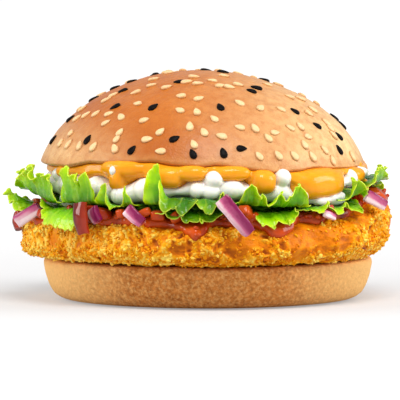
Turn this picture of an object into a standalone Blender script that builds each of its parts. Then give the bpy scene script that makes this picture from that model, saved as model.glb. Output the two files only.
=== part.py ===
"""Chicken burger: heel, breaded patty, salsa, onion, tomato, lettuce, mayonnaise, cheese sauce, seeded crown.

Lengths are millimetres until a mesh is written. Angles are degrees round the burger: 0 is the
front (-Y) and 90 the right-hand side (+X). The origin is the middle of the heel's flat foot.
"""

import math

import bmesh
import bpy
import numpy as np
from mathutils import Euler, Vector

MM = 0.001
GAP = 0.35

# Radius inside which every layer is a plain flat cone
CORE_RADIUS = 38.0

# Heel
HEEL_RADIUS = 49.8
HEEL_HEIGHT = 13.0
HEEL_FOOT_RADIUS = 42.0
HEEL_SIDES = 36

# Patty
PATTY_RADIUS = 54.0
PATTY_OVAL = 1.3
PATTY_TOP = 25.8
PATTY_RIGHT_LIFT = 5.8
PATTY_LEFT_DIP = 2.2
PATTY_EDGE = 8.0
PATTY_BLUNT = 2.4
PATTY_LEFT_BLUNT = 1.2
PATTY_RIGHT_BLUNT = 0.9
PATTY_SIDES = 54
CRAG_DEPTH = 0.55

# Salsa, mayonnaise and cheese sauce
SALSA_DEPTH = 2.7
SALSA_GAP = 0.45
SALSA_SIDES = 44
SOFT_SIDES = 48
SOFT_RIM = 45.0
MAYO_RADIUS = 47.4
MAYO_BULGE = 1.6
MAYO_RISE = 7.2
CHEESE_RADIUS = 48.2
CHEESE_BULGE = 1.5
CHEESE_DEPTH = 4.0

# Crown and seeds
CROWN_RADIUS = 50.0
CROWN_SHIFT = 1.5
CROWN_LEAN = 0.8
CROWN_MIDDLE = 34.5
CROWN_BASE = 41.5
CROWN_ROUND = 1.2
CROWN_TOP = 68.7
CROWN_BLUNT = 1.96
CROWN_SIDES = 36
SEED_COUNT = 96
SEED_SIZE = (3.4, 2.1, 1.3)
SEED_TAPER = 0.25
SEED_SPREAD = 46.8
SEED_BACK = 5.0

# Lettuce
BED_RADIUS = 37.2
BED_SIDES = 24
LEAF_THICKNESS = 0.6
LEAF_BEND = 4.5
LEAF_STEP = 4.9
LEAF_ROOT = {"low": 49.0, "high": 50.6}
LEAF_CLEAR = 4.1

# Each row: angle, lower edge of the cheese sauce, lower edge of the mayonnaise, at the rim.
RIM_ROWS = [
    (-90, 38.5, 33.0),
    (-74, 38.0, 32.2),
    (-64, 38.6, 31.2),
    (-57, 39.0, 31.5),
    (-50, 38.0, 31.7),
    (-43, 39.0, 31.6),
    (-37, 37.5, 31.8),
    (-31, 37.4, 31.4),
    (-25, 39.0, 31.8),
    (-18, 38.3, 32.2),
    (-11, 36.9, 34.0),
    (-4, 39.4, 33.8),
    (6, 40.0, 33.2),
    (13, 38.6, 32.4),
    (20, 35.2, 31.8),
    (27, 38.8, 31.8),
    (34, 36.0, 31.4),
    (43, 33.4, 31.4),
    (52, 35.2, 32.4),
    (60, 38.6, 35.0),
    (70, 38.4, 36.4),
    (79, 39.4, 36.4),
    (87, 38.0, 36.8),
    (96, 39.6, 36.2),
    (105, 38.2, 36.6),
    (114, 39.4, 35.6),
]

# Each row: angle, height of the crown's lower rim.
CROWN_ROWS = [
    (-80, 41.0),
    (-60, 41.3),
    (-45, 43.0),
    (-31, 43.5),
    (-20, 43.9),
    (-11, 43.0),
    (-3, 42.5),
    (3, 43.0),
    (12, 42.1),
    (19, 41.3),
    (25, 40.6),
    (34, 40.8),
    (43, 41.5),
    (53, 41.0),
    (68, 40.6),
    (90, 41.0),
    (110, 41.8),
    (150, 41.5),
    (190, 42.4),
    (230, 41.6),
]

# Each row: angle, and how far the salsa has run round the patty's shoulder (90 none, 0 to the rim).
SALSA_ROWS = [
    (-90, 62),
    (-75, 50),
    (-68, 56),
    (-60, 60),
    (-52, 62),
    (-45, 54),
    (-36, 56),
    (-30, 58),
    (-24, 62),
    (-19, 56),
    (-14, 52),
    (-9, 46),
    (-6.5, 30),
    (-4, 15),
    (-1, 26),
    (1.5, 56),
    (5, 70),
    (12, 66),
    (16, 60),
    (18.5, 42),
    (21, 21),
    (25, 24),
    (29, 32),
    (31.5, 62),
    (35, 74),
    (40, 60),
    (43, 66),
    (47, 80),
    (66, 84),
    (80, 84),
]

# Each row: angle, upward bend of the free margin in degrees, its length, how far it leans round the burger.
LOW_FRILL_ROWS = [
    (-104, 5, 5, 0),
    (-98, 14, 7, 0),
    (-93, 22, 10.5, 0),
    (-89.5, 22, 13.0, 0),
    (-86.5, 8, 9.5, 0),
    (-84, -8, 8.5, 0),
    (-81, -10, 7.5, 0),
    (-78, -4, 6, 0),
    (-75.5, 0, 4.5, 0),
    (-68, 30, 4, -1),
    (-66, 48, 6, -1),
    (-63, 10, 6, 0),
    (-60.5, -30, 8, 0),
    (-57, -44, 9, 0),
    (-53.5, -50, 9.6, 0),
    (-50.5, -52, 10, 1),
    (-48, -48, 9.8, 2),
    (-46, -30, 8, 2),
    (-43.5, -10, 5, 1),
    (-19, 12, 4, 0),
    (-14, 4, 5, 0),
    (-9, -14, 6, 0),
    (-4, -28, 6.5, 0),
    (-1, -36, 7, 0),
    (2, -20, 6, 0),
    (4.5, -12, 5, 0),
    (14.5, -20, 5, 0),
    (16.2, -34, 6.5, 0),
    (18, -52, 7.8, 0.5),
    (20.3, -54, 8, 0.5),
    (22.5, -38, 6.8, 0.5),
    (24.8, -44, 7.2, 1),
    (27, -38, 6.6, 1),
    (29, -12, 5.5, 0),
    (31, 20, 5, -1),
    (33, 30, 4.5, -1),
    (35, -5, 4.5, 0),
    (37.5, -16, 5, 0),
    (40, -8, 5, 0),
    (42, 28, 5, 0),
    (44, 0, 5, 0),
    (46, -26, 6, 0),
    (49, -6, 5, 0),
    (51, 22, 5, 0),
    (53.2, -10, 6, 0),
    (55.5, -42, 6.8, 0),
    (58.5, -30, 6, 0),
    (61, -10, 5, 0),
    (86, -6, 3.4, 0),
    (91, 8, 3.8, 0),
    (97, -8, 4, 1),
    (104, 10, 5, -1),
]
HIGH_FRILL_ROWS = [
    (-97, 8, 6.5, 0),
    (-93, 18, 7.2, 0),
    (-90, 42, 8, 1),
    (-86, 66, 9.6, 2),
    (-82, 52, 8.6, 0.5),
    (-78, 72, 10.6, 1.5),
    (-74, 80, 12, 1.5),
    (-70, 60, 9.6, 2),
    (-66, 76, 10.8, 3.4),
    (-62.5, 74, 10, 4),
    (-60.2, 56, 8, 3.4),
    (-58, 20, 5.5, 2),
    (-53, 50, 6, -2),
    (-51.5, 76, 10.6, -2.6),
    (-49, 80, 12.8, -1.2),
    (-46.3, 80, 10.9, 0),
    (-44.7, 70, 9, 0),
    (-43, 76, 10.6, 0.4),
    (-41, 80, 12.2, 0.9),
    (-39.6, 70, 9.5, 0.5),
    (-38.4, 40, 6, 0.3),
    (-36.8, 52, 6.2, -0.8),
    (-35.2, 70, 8.6, -0.9),
    (-33.6, 74, 8.8, -0.4),
    (-32.3, 10, 5, 0),
    (-31, -34, 5.2, -0.6),
    (-29.5, -10, 4, 0),
    (-28.6, 40, 5.5, 0),
    (-27, 70, 9.2, -0.6),
    (-25, 66, 8, 0),
    (-23.6, 40, 5, 0),
    (-17, 60, 8, -3),
    (-15.6, 84, 14.2, -3.6),
    (-14.2, 84, 13.6, -2.6),
    (-13, 66, 8, -1.4),
    (-12, 0, 6.5, -1.4),
    (-10.8, -24, 7.4, -2),
    (-9.2, -38, 6.8, -1.6),
    (-7.6, -40, 6.6, -0.8),
    (-6.2, -52, 7.6, -0.4),
    (-5, -34, 6, 0.2),
    (-3.8, 0, 5, 0.4),
    (-2.4, -30, 6, -0.6),
    (-0.8, -46, 7.4, -0.3),
    (1, -46, 7, 0),
    (2.4, -10, 5.2, 0),
    (3.7, 36, 5.5, 0.8),
    (4.9, 52, 5.8, 0.8),
    (6.2, -18, 5.6, 0),
    (7.4, -38, 6, -0.2),
    (8.6, -10, 4, 0),
    (10.6, 40, 5, 0),
    (12.4, 74, 9.2, 0),
    (14.2, 68, 8.4, 0.4),
    (15.8, 30, 6, 0.4),
    (17.6, 60, 5.8, 0.4),
    (19.4, 8, 5.5, 0),
    (21.5, 50, 7, 0.8),
    (23.4, 64, 7.2, 0.4),
    (25.3, 38, 6, 0),
    (27.6, 70, 7.8, 0.4),
    (30, 72, 8.4, 0.8),
    (32, 58, 7.2, 1),
    (33.6, 20, 4.5, 0.8),
    (50.5, 40, 5, 0),
    (52.5, 78, 8.8, 0.8),
    (54.5, 70, 8, 0.6),
    (57, 20, 6.5, 0),
    (59, -38, 6.8, -1),
    (60.6, -10, 4, -0.8),
    (64, 10, 4.6, 0),
    (68, 60, 5.6, 0),
    (72, 80, 6.6, 0.4),
    (76, 82, 6.8, 0.8),
    (80, 76, 6.2, 0.4),
    (84, 30, 4.4, 0),
    (88, -10, 3.8, 0),
    (91.5, 0, 3.6, 0),
    (98, -14, 4.6, 0),
    (106, 12, 4.4, 1),
    (114, -14, 5.2, -1),
    (122, 14, 5, 1),
    (129, 6, 5.6, -1),
]
HIGH_LEFT_ROWS = [
    (234, 8, 6, 0),
    (240, 28, 6.4, 1),
    (246, 12, 6, -1),
    (252, 8, 5, 0),
]
LEAF_SPANS = {
    "low": [
        (-104, -75.5),
        (-68, -43.5),
        (-19, 4.5),
        (14.5, 33),
        (35, 61),
        (86, 112),
        (124, 150),
        (162, 190),
        (202, 228),
    ],
    "high": [
        (-97, -58),
        (-53, -38.4),
        (-36.8, -29.5),
        (-28.6, -23.6),
        (-17, -3.8),
        (-2.4, 8.6),
        (10.6, 33.6),
        (50.5, 60.6),
        (64, 91.5),
        (98, 142),
        (152, 196),
        (206, 252),
    ],
}

# Each row: name, angle, radius, height, size (along, across, deep), turn (tilt, slope, yaw), curve.
ONION_ROWS = [
    ("onion_1", -71.5, 56.8, 26.5, (8.6, 3.9, 2.8), (8, -32, -20), 0.5),
    ("onion_2", -38.0, 54.4, 28.2, (4.6, 4.0, 2.0), (12, 60, -38), 0.3),
    ("onion_3", -23.2, 55.0, 28.4, (6.6, 3.8, 2.0), (-8, 38, -23), 0.3),
    ("onion_4", 8.4, 58.6, 28.8, (13.5, 4.6, 2.4), (6, 50, 8), 1.2),
    ("onion_5", 66.0, 55.4, 31.1, (7.2, 3.6, 2.6), (0, 27, 26), 0.3),
    ("onion_6", 42.4, 54.4, 27.9, (4.4, 2.0, 1.6), (-10, 20, 42), 0.2),
    ("onion_7", 118.0, 56.8, 30.2, (9.0, 4.2, 2.4), (5, 20, 118), 0.8),
    ("onion_8", 156.0, 55.2, 28.2, (8.0, 4.2, 2.4), (0, -26, 156), 0.6),
    ("onion_9", 196.0, 54.8, 28.2, (8.5, 4.2, 2.4), (8, 22, 196), 0.7),
    ("onion_10", 234.0, 55.2, 28.0, (8.0, 4.2, 2.4), (-6, -24, 234), 0.5),
]
TOMATO_ROWS = [
    ("tomato_1", -40.8, 57.6, 27.2, (9.4, 5.2, 3.4), (4, 82, -42), 0.6),
    ("tomato_2", -82.5, 57.8, 23.8, (5.4, 3.6, 2.8), (0, 62, -80), 0.4),
]

# How the front shows, from a little above: steps to the right of and above a mark, each of one size.
VIEW_TILT = 4.0
VIEW_STEP = 0.302
VIEW_MIDDLE = 207.0
VIEW_FLOOR = 298.0

# Each row: where a seed of the front shows, in steps right and down, and which way its tip points there.
PALE_SEED_ROWS = [
    (154, 80, 0), (152, 86, 0), (167, 88, 70), (136, 93, 150), (138, 105, 130), (187, 83, 20),
    (194, 78, 30), (198, 85, 0), (212, 82, 170), (220, 87, 60), (224, 77, 0), (229, 88, 0),
    (238, 86, 30), (181, 97, 130), (199, 100, 45), (180, 111, 130), (197, 113, 100),
    (214, 120, 120), (190, 127, 95), (204, 133, 110), (221, 137, 160), (239, 128, 160),
    (254, 129, 100), (260, 109, 60), (239, 104, 120), (280, 110, 160), (267, 138, 110),
    (274, 133, 20), (258, 157, 120), (277, 156, 120), (293, 156, 130), (311, 157, 110),
    (323, 150, 150), (331, 162, 85), (303, 145, 100), (307, 137, 20), (289, 128, 150),
    (299, 127, 95), (289, 98, 160), (300, 100, 140), (308, 114, 10), (312, 110, 140),
    (325, 123, 130), (329, 128, 100), (332, 135, 110), (351, 156, 150), (161, 152, 170),
    (161, 132, 60), (148, 140, 0), (145, 121, 15), (121, 134, 80), (118, 140, 80), (116, 150, 120),
    (95, 157, 75), (81, 158, 120), (70, 150, 60), (62, 143, 120), (72, 133, 130), (107, 124, 15),
    (110, 115, 0), (122, 118, 120), (97, 114, 80), (87, 115, 30), (107, 100, 40), (114, 95, 20),
    (83, 109, 50), (78, 118, 70), (194, 145, 110), (267, 86, 130), (170, 73, 0), (238, 74, 0),
]
BLACK_SEED_ROWS = [
    (206, 70, 0), (223, 73, 0), (179, 83, 170), (132, 81, 20), (115, 87, 20), (123, 91, 160),
    (94, 98, 30), (116, 108, 175), (154, 108, 70), (220, 108, 95), (264, 80, 150), (256, 89, 150),
    (251, 92, 150), (294, 112, 130), (316, 126, 175), (334, 115, 130), (342, 123, 130),
    (338, 136, 120), (338, 150, 120), (241, 149, 10), (223, 154, 100), (193, 159, 110),
    (175, 139, 30), (133, 152, 60), (89, 140, 90), (54, 156, 10), (71, 119, 45),
]

CRUST = (0.80, 0.42, 0.18)
HEEL_CRUST = (0.70, 0.38, 0.18)
BREADING = (0.85, 0.42, 0.06)
SALSA_RED = (0.50, 0.06, 0.02)
ONION_PINK = (0.75, 0.45, 0.50)
TOMATO_RED = (0.35, 0.02, 0.01)
LETTUCE_GREEN = (0.25, 0.50, 0.02)
MAYO_WHITE = (0.86, 0.82, 0.72)
CHEESE_YELLOW = (0.90, 0.45, 0.05)


def eased(share):
    """0 to 1 with a level start and end."""
    share = np.clip(share, 0.0, 1.0)
    return share * share * (3.0 - 2.0 * share)


def back_rows(start, stop, count, seed, spans):
    """Rows for the side that faces away: even angles with drawn values, alternately near each span's ends."""
    draw = np.random.default_rng(seed)
    angles = np.linspace(start, stop, count)
    rows = []
    for place, angle in enumerate(angles):
        near = 0.18 + 0.64 * (place % 2) + draw.uniform(-0.18, 0.18, len(spans))
        rows.append((angle, *[low + (high - low) * share for (low, high), share in zip(spans, near)]))
    return rows


RIM_ALL = RIM_ROWS + back_rows(123, 260, 14, 3, [(36.0, 40.0), (35.4, 32.4)])
SALSA_ALL = SALSA_ROWS + back_rows(92, 258, 13, 5, [(30, 68)])
LOW_FRILL_ALL = LOW_FRILL_ROWS + back_rows(111, 252, 21, 11, [(-58, 8), (9.5, 6.0), (-2, 2)])
HIGH_BACK_ROWS = back_rows(134, 230, 16, 13, [(4, 72), (5.5, 8.5), (-2, 2)])
HIGH_FRILL_ALL = HIGH_FRILL_ROWS + HIGH_BACK_ROWS + HIGH_LEFT_ROWS
FRILLS = {"low": LOW_FRILL_ALL, "high": HIGH_FRILL_ALL}


def around(angle, rows, column=1):
    """The value at an angle of a table of rows, eased from row to row round the circle."""
    rows = sorted(rows)
    angles = np.array([row[0] for row in rows] + [rows[0][0] + 360.0])
    values = np.array([row[column] for row in rows] + [rows[0][column]])
    angle = (np.asarray(angle, float) - angles[0]) % 360.0 + angles[0]
    place = np.clip(np.searchsorted(angles, angle, side="right") - 1, 0, len(rows) - 1)
    share = (angle - angles[place]) / (angles[place + 1] - angles[place])
    return values[place] + eased(share) * (values[place + 1] - values[place])


def ripple(angle, waves):
    """A sum of sine waves round the burger; each wave is (how many, size, phase)."""
    turn = np.radians(angle)
    return sum(size * np.sin(count * turn + phase) for count, size, phase in waves)


def plan(radius, angle):
    """(x, y) at a radius and an angle."""
    turn = np.radians(angle)
    return radius * np.sin(turn), -radius * np.cos(turn)


def relief_waves(seed, count, shortest, longest):
    """Random plane waves whose sum is an even, lumpy relief."""
    draw = np.random.default_rng(seed)
    heading = draw.normal(size=(count, 3))
    heading /= np.linalg.norm(heading, axis=1)[:, None]
    lengths = draw.uniform(shortest, longest, count)
    return heading * (2 * np.pi / lengths)[:, None], draw.uniform(0, 2 * np.pi, count)


def relief(points, waves):
    """The relief at each point, mostly between -1 and 1."""
    headings, phases = waves
    return np.sin(points @ headings.T + phases).sum(axis=1) / math.sqrt(len(phases))


def patty_radius(angle):
    oval = PATTY_RADIUS - PATTY_OVAL * np.cos(2 * np.radians(angle))
    return oval + ripple(angle, [(3, 0.45, 1.0), (5, 0.35, 2.2), (9, 0.3, 0.5)])


def patty_top(x, y):
    lift = PATTY_RIGHT_LIFT * eased((x - 36.0) / 15.0)
    dip = PATTY_LEFT_DIP * eased((-x - 34.0) / 18.0)
    return PATTY_TOP + lift - dip + 0.35 * np.sin(x / 8.5 + 1.0) * np.cos(y / 10.0)


def patty_base(x):
    return HEEL_HEIGHT + GAP + 0.8 * eased((x - 44.0) / 10.0)


def patty_middle(radius, angle):
    """(mid height, half thickness) of the patty at a radius and an angle."""
    x, y = plan(radius, angle)
    top, base = patty_top(x, y), patty_base(x)
    return (top + base) / 2, (top - base) / 2


def patty_blunt(angle, above=True):
    """How square the patty's edge is: upright on the left; on the right full above and cut back below."""
    side = np.sin(np.radians(angle))
    left, right = eased((-side - 0.4) / 0.5), eased((side - 0.4) / 0.5)
    return PATTY_BLUNT + PATTY_LEFT_BLUNT * left + np.where(above, 1.0, -0.7) * PATTY_RIGHT_BLUNT * right


def patty_edge(angle, slope, out=0.0):
    """(radius, height) on the patty's edge, out off its surface; slope 90 is the shoulder, 0 the rim."""
    shoulder = patty_radius(angle) - PATTY_EDGE
    middle, half = patty_middle(shoulder, angle)
    level, rise = np.cos(np.radians(slope)), np.sin(np.radians(slope))
    power = 2.0 / patty_blunt(angle, slope >= 0)
    lean = level ** (2 - power) / PATTY_EDGE
    climb = np.sign(rise) * np.abs(rise) ** (2 - power) / half
    steep = np.hypot(lean, climb)
    radius = shoulder + PATTY_EDGE * level**power + out * lean / steep
    height = middle + half * np.sign(rise) * np.abs(rise) ** power + out * climb / steep
    return radius, height


def over_patty(radius, angle, out):
    """Height of a surface that keeps a distance off the patty and falls away round its shoulder."""
    shoulder = patty_radius(angle) - PATTY_EDGE
    middle, half = patty_middle(np.minimum(radius, shoulder), angle)
    beyond = np.clip((radius - shoulder) / (PATTY_EDGE + out), 0.0, 1.0)
    blunt = patty_blunt(angle)
    return middle + (half + out) * (1 - beyond**blunt) ** (1 / blunt)


def pushed_off_patty(radius, height, angle, out):
    """A point that is closer than out to the patty, moved away from the middle of its edge."""
    shoulder = patty_radius(angle) - PATTY_EDGE
    middle, half = patty_middle(shoulder, angle)
    across = np.maximum(radius - shoulder, 0.0) / (PATTY_EDGE + out)
    up = np.maximum(height - middle, 0.0) / (half + out)
    blunt = patty_blunt(angle)
    depth = np.maximum(across**blunt + up**blunt, 1e-6)
    grow = np.where(depth < 1.0, depth ** (-1 / blunt), 1.0)
    outside = radius > shoulder
    new_radius = np.where(outside, shoulder + (radius - shoulder) * grow, radius)
    new_height = np.where(outside & (height > middle), middle + (height - middle) * grow, height)
    inside_floor = over_patty(radius, angle, out)
    return new_radius, np.where(outside, new_height, np.maximum(height, inside_floor))


def rim_share(radius):
    """0 in the core, 1 where a soft layer takes the height of its rim."""
    return eased((radius - CORE_RADIUS) / (SOFT_RIM - CORE_RADIUS))


def crown_base(radius, angle):
    rim = around(angle, CROWN_ROWS)
    return CROWN_BASE + (rim - CROWN_BASE) * rim_share(radius)


def mayo_base(radius, angle):
    x, y = plan(radius, angle)
    inner = patty_top(x, y) + MAYO_RISE
    rim = around(angle, RIM_ALL, 2)
    return inner + (rim - inner) * rim_share(radius)


def cheese_base(radius, angle):
    inner = crown_base(radius, angle) - CHEESE_DEPTH
    rim = around(angle, RIM_ALL, 1)
    return inner + (rim - inner) * rim_share(radius)


def mayo_share(angle):
    """1 where the mayonnaise bulges past the cheese sauce, 0 where the sauce hangs over it."""
    return eased((around(angle, RIM_ALL, 1) - 35.0) / 3.5)


def clear_scene():
    for item in list(bpy.data.objects):
        bpy.data.objects.remove(item, do_unlink=True)


def plain_material(name, colour, roughness):
    material = bpy.data.materials.new(name)
    material.use_nodes = True
    shader = material.node_tree.nodes["Principled BSDF"]
    shader.inputs["Base Color"].default_value = (*colour, 1.0)
    shader.inputs["Roughness"].default_value = roughness
    return material


def new_object(name, mesh, collection, material=None):
    item = bpy.data.objects.new(name, mesh)
    collection.objects.link(item)
    if material is not None:
        mesh.materials.clear()
        mesh.materials.append(material)
    return item


def applied(item):
    """The object with its modifiers made part of its mesh."""
    bpy.context.view_layer.update()
    graph = bpy.context.evaluated_depsgraph_get()
    mesh = bpy.data.meshes.new_from_object(item.evaluated_get(graph))
    item.modifiers.clear()
    item.data = mesh
    return item


def turned(name, profile, sides, collection, material):
    """A solid turned about +Z from a profile of (radius, height), from its top centre to its foot."""
    mesh = bpy.data.meshes.new(name)
    points = [(radius * MM, 0.0, height * MM) for radius, height in profile]
    mesh.from_pydata(points, [(i, i + 1) for i in range(len(points) - 1)], [])
    item = new_object(name, mesh, collection)
    screw = item.modifiers.new("turn", "SCREW")
    screw.angle = 2 * math.pi
    screw.steps = screw.render_steps = sides
    screw.use_merge_vertices = True
    screw.merge_threshold = 0.00005
    applied(item)
    split_alike(item.data)
    item.data.materials.append(material)
    item.data.shade_smooth()
    return item


def split_alike(mesh):
    """Cuts each four-sided face of a turned solid from its near inner corner to its far outer corner.

    Layers that lie on one another then crease along the same lines, and keep their gap.
    """
    body = bmesh.new()
    body.from_mesh(mesh)
    for face in [face for face in body.faces if len(face.verts) == 4]:
        middle = face.calc_center_median()
        along = Vector((-middle.y, middle.x, 0.0))
        order = sorted(face.verts, key=lambda vertex: vertex.co.dot(along))
        near = min(order[:2], key=lambda vertex: (round(vertex.co.xy.length, 6), vertex.co.z))
        far = max(order[2:], key=lambda vertex: (round(vertex.co.xy.length, 6), vertex.co.z))
        if not any(far in edge.verts for edge in near.link_edges):
            bmesh.utils.face_split(face, near, far)
    bmesh.ops.triangulate(body, faces=[face for face in body.faces if len(face.verts) > 3])
    body.to_mesh(mesh)
    body.free()


def reshape(item, rule):
    """Moves each vertex to where rule(radius, angle, height) puts it, all in millimetres."""
    mesh = item.data
    places = np.zeros(len(mesh.vertices) * 3)
    mesh.vertices.foreach_get("co", places)
    x, y, z = places.reshape(-1, 3).T / MM
    radius, angle = np.hypot(x, y), np.degrees(np.arctan2(x, -y))
    radius, angle, height = rule(radius, angle, z)
    x, y = plan(radius, angle)
    mesh.vertices.foreach_set("co", (np.column_stack([x, y, height]) * MM).ravel())
    mesh.update()


def make_heel(collection, material):
    profile = [
        (0.0, HEEL_HEIGHT),
        (HEEL_RADIUS - 1.5, HEEL_HEIGHT),
        (HEEL_RADIUS, HEEL_HEIGHT - 1.2),
        (HEEL_RADIUS - 0.7, 8.0),
        (HEEL_RADIUS - 2.1, 3.6),
        (HEEL_RADIUS - 4.2, 1.1),
        (HEEL_FOOT_RADIUS, 0.0),
        (0.0, 0.0),
    ]
    heel = turned("heel", profile, HEEL_SIDES, collection, material)

    def uneven(radius, angle, height):
        swell = ripple(angle, [(2, 0.004, 0.4), (3, 0.006, 2.0), (5, 0.004, 0.9)])
        return radius * (1 + swell), angle, height

    reshape(heel, uneven)
    return heel


def make_patty(collection, material):
    slopes = np.linspace(90, -90, 8)
    flat = [(0.0, 1.0), (CORE_RADIUS, 1.0)]
    edge = [(50.0 + 0.1 * place, 0.5) for place in range(len(slopes))]
    profile = flat + edge + [(0.0, 0.0)]
    patty = turned("patty", profile, PATTY_SIDES, collection, material)
    waves = relief_waves(21, 22, 7.0, 15.0)

    def shaped(radius, angle, height):
        on_edge = radius > 49.0
        slope = slopes[np.clip(np.rint((radius - 50.0) * 10).astype(int), 0, len(slopes) - 1)]
        edge_radius, edge_height = patty_edge(angle, slope)
        x, y = plan(radius, angle)
        flat_height = np.where(height > 0.5, patty_top(x, y), patty_base(x))
        radius = np.where(on_edge, edge_radius, radius)
        height = np.where(on_edge, edge_height, flat_height)
        points = np.column_stack([*plan(radius, angle), height * 1.4])
        crag = CRAG_DEPTH * relief(points, waves) * np.cos(np.radians(slope)) ** 1.5
        return radius + np.where(on_edge, crag, 0.0), angle, height

    reshape(patty, shaped)
    return patty


def make_salsa(collection, material):
    """Salsa lies on the patty and runs down its shoulder in tongues."""
    run = [0.0, 0.45, 0.85]
    profile = [(0.0, 1.0), (CORE_RADIUS, 1.0)]
    profile += [(50.0 + share, 1.0) for share in run] + [(51.0, 0.5)]
    profile += [(50.0 + share, 0.0) for share in reversed(run)] + [(CORE_RADIUS, 0.0), (0.0, 0.0)]
    salsa = turned("salsa", profile, SALSA_SIDES, collection, material)

    def poured(radius, angle, height):
        share = np.clip(radius - 50.0, 0.0, 1.0)
        reach = around(angle, SALSA_ALL)
        deep = SALSA_DEPTH * (1 - 0.35 * share) * height
        on_edge = radius > 49.0
        edge_radius, edge_height = patty_edge(angle, 90 - (90 - reach) * share, SALSA_GAP + deep)
        x, y = plan(radius, angle)
        flat_height = patty_top(x, y) + SALSA_GAP + deep
        return np.where(on_edge, edge_radius, radius), angle, np.where(on_edge, edge_height, flat_height)

    reshape(salsa, poured)
    return salsa


def make_puck(name, rim_radius, low, high, collection, material):
    """A soft layer between two height rules, with a round rim."""
    rim = 50.0
    profile = [(0.0, 1.0), (CORE_RADIUS, 1.0), (SOFT_RIM, 1.0), (rim - 0.4, 0.78), (rim, 0.5)]
    profile += [(rim - 0.5, 0.2), (SOFT_RIM, 0.0), (CORE_RADIUS, 0.0), (0.0, 0.0)]
    puck = turned(name, profile, SOFT_SIDES, collection, material)

    def fitted(radius, angle, height):
        radius = radius + (rim_radius(angle) - rim) * (radius > SOFT_RIM + 1.0)
        floor, ceiling = low(radius, angle), high(radius, angle)
        return radius, angle, floor + height * (ceiling - floor)

    reshape(puck, fitted)
    return puck


def make_mayonnaise(collection, material):
    def rim_radius(angle):
        return MAYO_RADIUS + MAYO_BULGE * mayo_share(angle) + ripple(angle, [(17, 0.25, 0.3)])

    def ceiling(radius, angle):
        return cheese_base(radius, angle) - GAP

    return make_puck("mayonnaise", rim_radius, mayo_base, ceiling, collection, material)


def make_cheese_sauce(collection, material):
    def rim_radius(angle):
        return CHEESE_RADIUS + CHEESE_BULGE * (1 - mayo_share(angle)) + ripple(angle, [(13, 0.2, 1.1)])

    def ceiling(radius, angle):
        return crown_base(radius, angle) - GAP

    return make_puck("cheese_sauce", rim_radius, cheese_base, ceiling, collection, material)


def make_lettuce_bed(collection, material):
    """The packed middle of the lettuce, between the salsa and the mayonnaise."""
    profile = [(0.0, 1.0), (BED_RADIUS, 1.0), (BED_RADIUS, 0.0), (0.0, 0.0)]
    bed = turned("lettuce_bed", profile, BED_SIDES, collection, material)

    def packed(radius, angle, height):
        x, y = plan(radius, angle)
        floor = patty_top(x, y) + SALSA_GAP + SALSA_DEPTH + GAP
        return radius, angle, floor + height * (mayo_base(radius, angle) - GAP - floor)

    reshape(bed, packed)
    return bed


def leaf_points(tier, angles, shares):
    """A grid of (x, y, z): one row for each angle, going out from the bed to the free margin."""
    frill = FRILLS[tier]
    bend = np.radians(around(angles, frill, 1))[:, None]
    length = around(angles, frill, 2)[:, None]
    lean = around(angles, frill, 3)[:, None]
    ends = np.minimum(angles - angles[0], angles[-1] - angles)[:, None]
    length = length * (0.45 + 0.55 * eased(ends / 5.0))
    steps = np.linspace(0.0, 1.0, 13)[None, :]
    heading = bend * eased(steps * length / LEAF_BEND)
    stride = length / (steps.shape[1] - 1)
    middle = (heading[:, 1:] + heading[:, :-1]) / 2
    out = np.concatenate([np.zeros_like(bend), np.cumsum(np.cos(middle) * stride, axis=1)], axis=1)
    up = np.concatenate([np.zeros_like(bend), np.cumsum(np.sin(middle) * stride, axis=1)], axis=1)

    root = LEAF_ROOT[tier]
    bed_radius = np.array([CORE_RADIUS, PATTY_RADIUS - PATTY_EDGE])[None, :] + 0.0 * bend
    angle = angles[:, None]

    def bed(radius):
        if tier == "low":
            return over_patty(radius, angle, LEAF_CLEAR)
        nearby = [mayo_base(radius, angle + turn) for turn in (-180 / SOFT_SIDES, 0.0, 180 / SOFT_SIDES)]
        return np.minimum.reduce(nearby) - LEAF_THICKNESS / 2 - GAP

    radius = np.concatenate([bed_radius, root + out[:, shares]], axis=1)
    height = np.concatenate([bed(bed_radius), bed(root + 0.0 * bend) + up[:, shares]], axis=1)
    if tier == "low":
        radius, height = pushed_off_patty(radius, height, angle, LEAF_CLEAR)
    share = np.concatenate([0.0 * bed_radius, 0.0 * bend + steps[:, shares]], axis=1)
    x, y = plan(radius, angle + lean * share**1.3)
    return np.stack([x, y, height], axis=2)


def make_leaf(tier, span, name, collection, material):
    """A thin wavy sheet: a grid laid along the rim, with its free margin bent up and down."""
    start, stop = span
    knots = [start] + [row[0] for row in sorted(FRILLS[tier]) if start + 1 < row[0] < stop - 1] + [stop]
    angles = sorted(knots + [(a + b) / 2 for a, b in zip(knots, knots[1:]) if b - a > LEAF_STEP])
    points = leaf_points(tier, np.array(angles, float), [0, 5, 12])
    across, along = points.shape[:2]
    sheet = bmesh.new()
    bmesh.ops.create_grid(sheet, x_segments=along - 1, y_segments=across - 1, size=1.0)
    sheet.verts.ensure_lookup_table()
    for place, vertex in enumerate(sheet.verts):
        vertex.co = Vector(points[place // along, place % along]) * MM
    bmesh.ops.triangulate(sheet, faces=sheet.faces[:])
    mesh = bpy.data.meshes.new(name)
    sheet.to_mesh(mesh)
    sheet.free()
    leaf = new_object(name, mesh, collection, material)
    solidify = leaf.modifiers.new("thickness", "SOLIDIFY")
    solidify.thickness = LEAF_THICKNESS * MM
    solidify.offset = 0.0
    applied(leaf)
    return leaf


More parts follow.
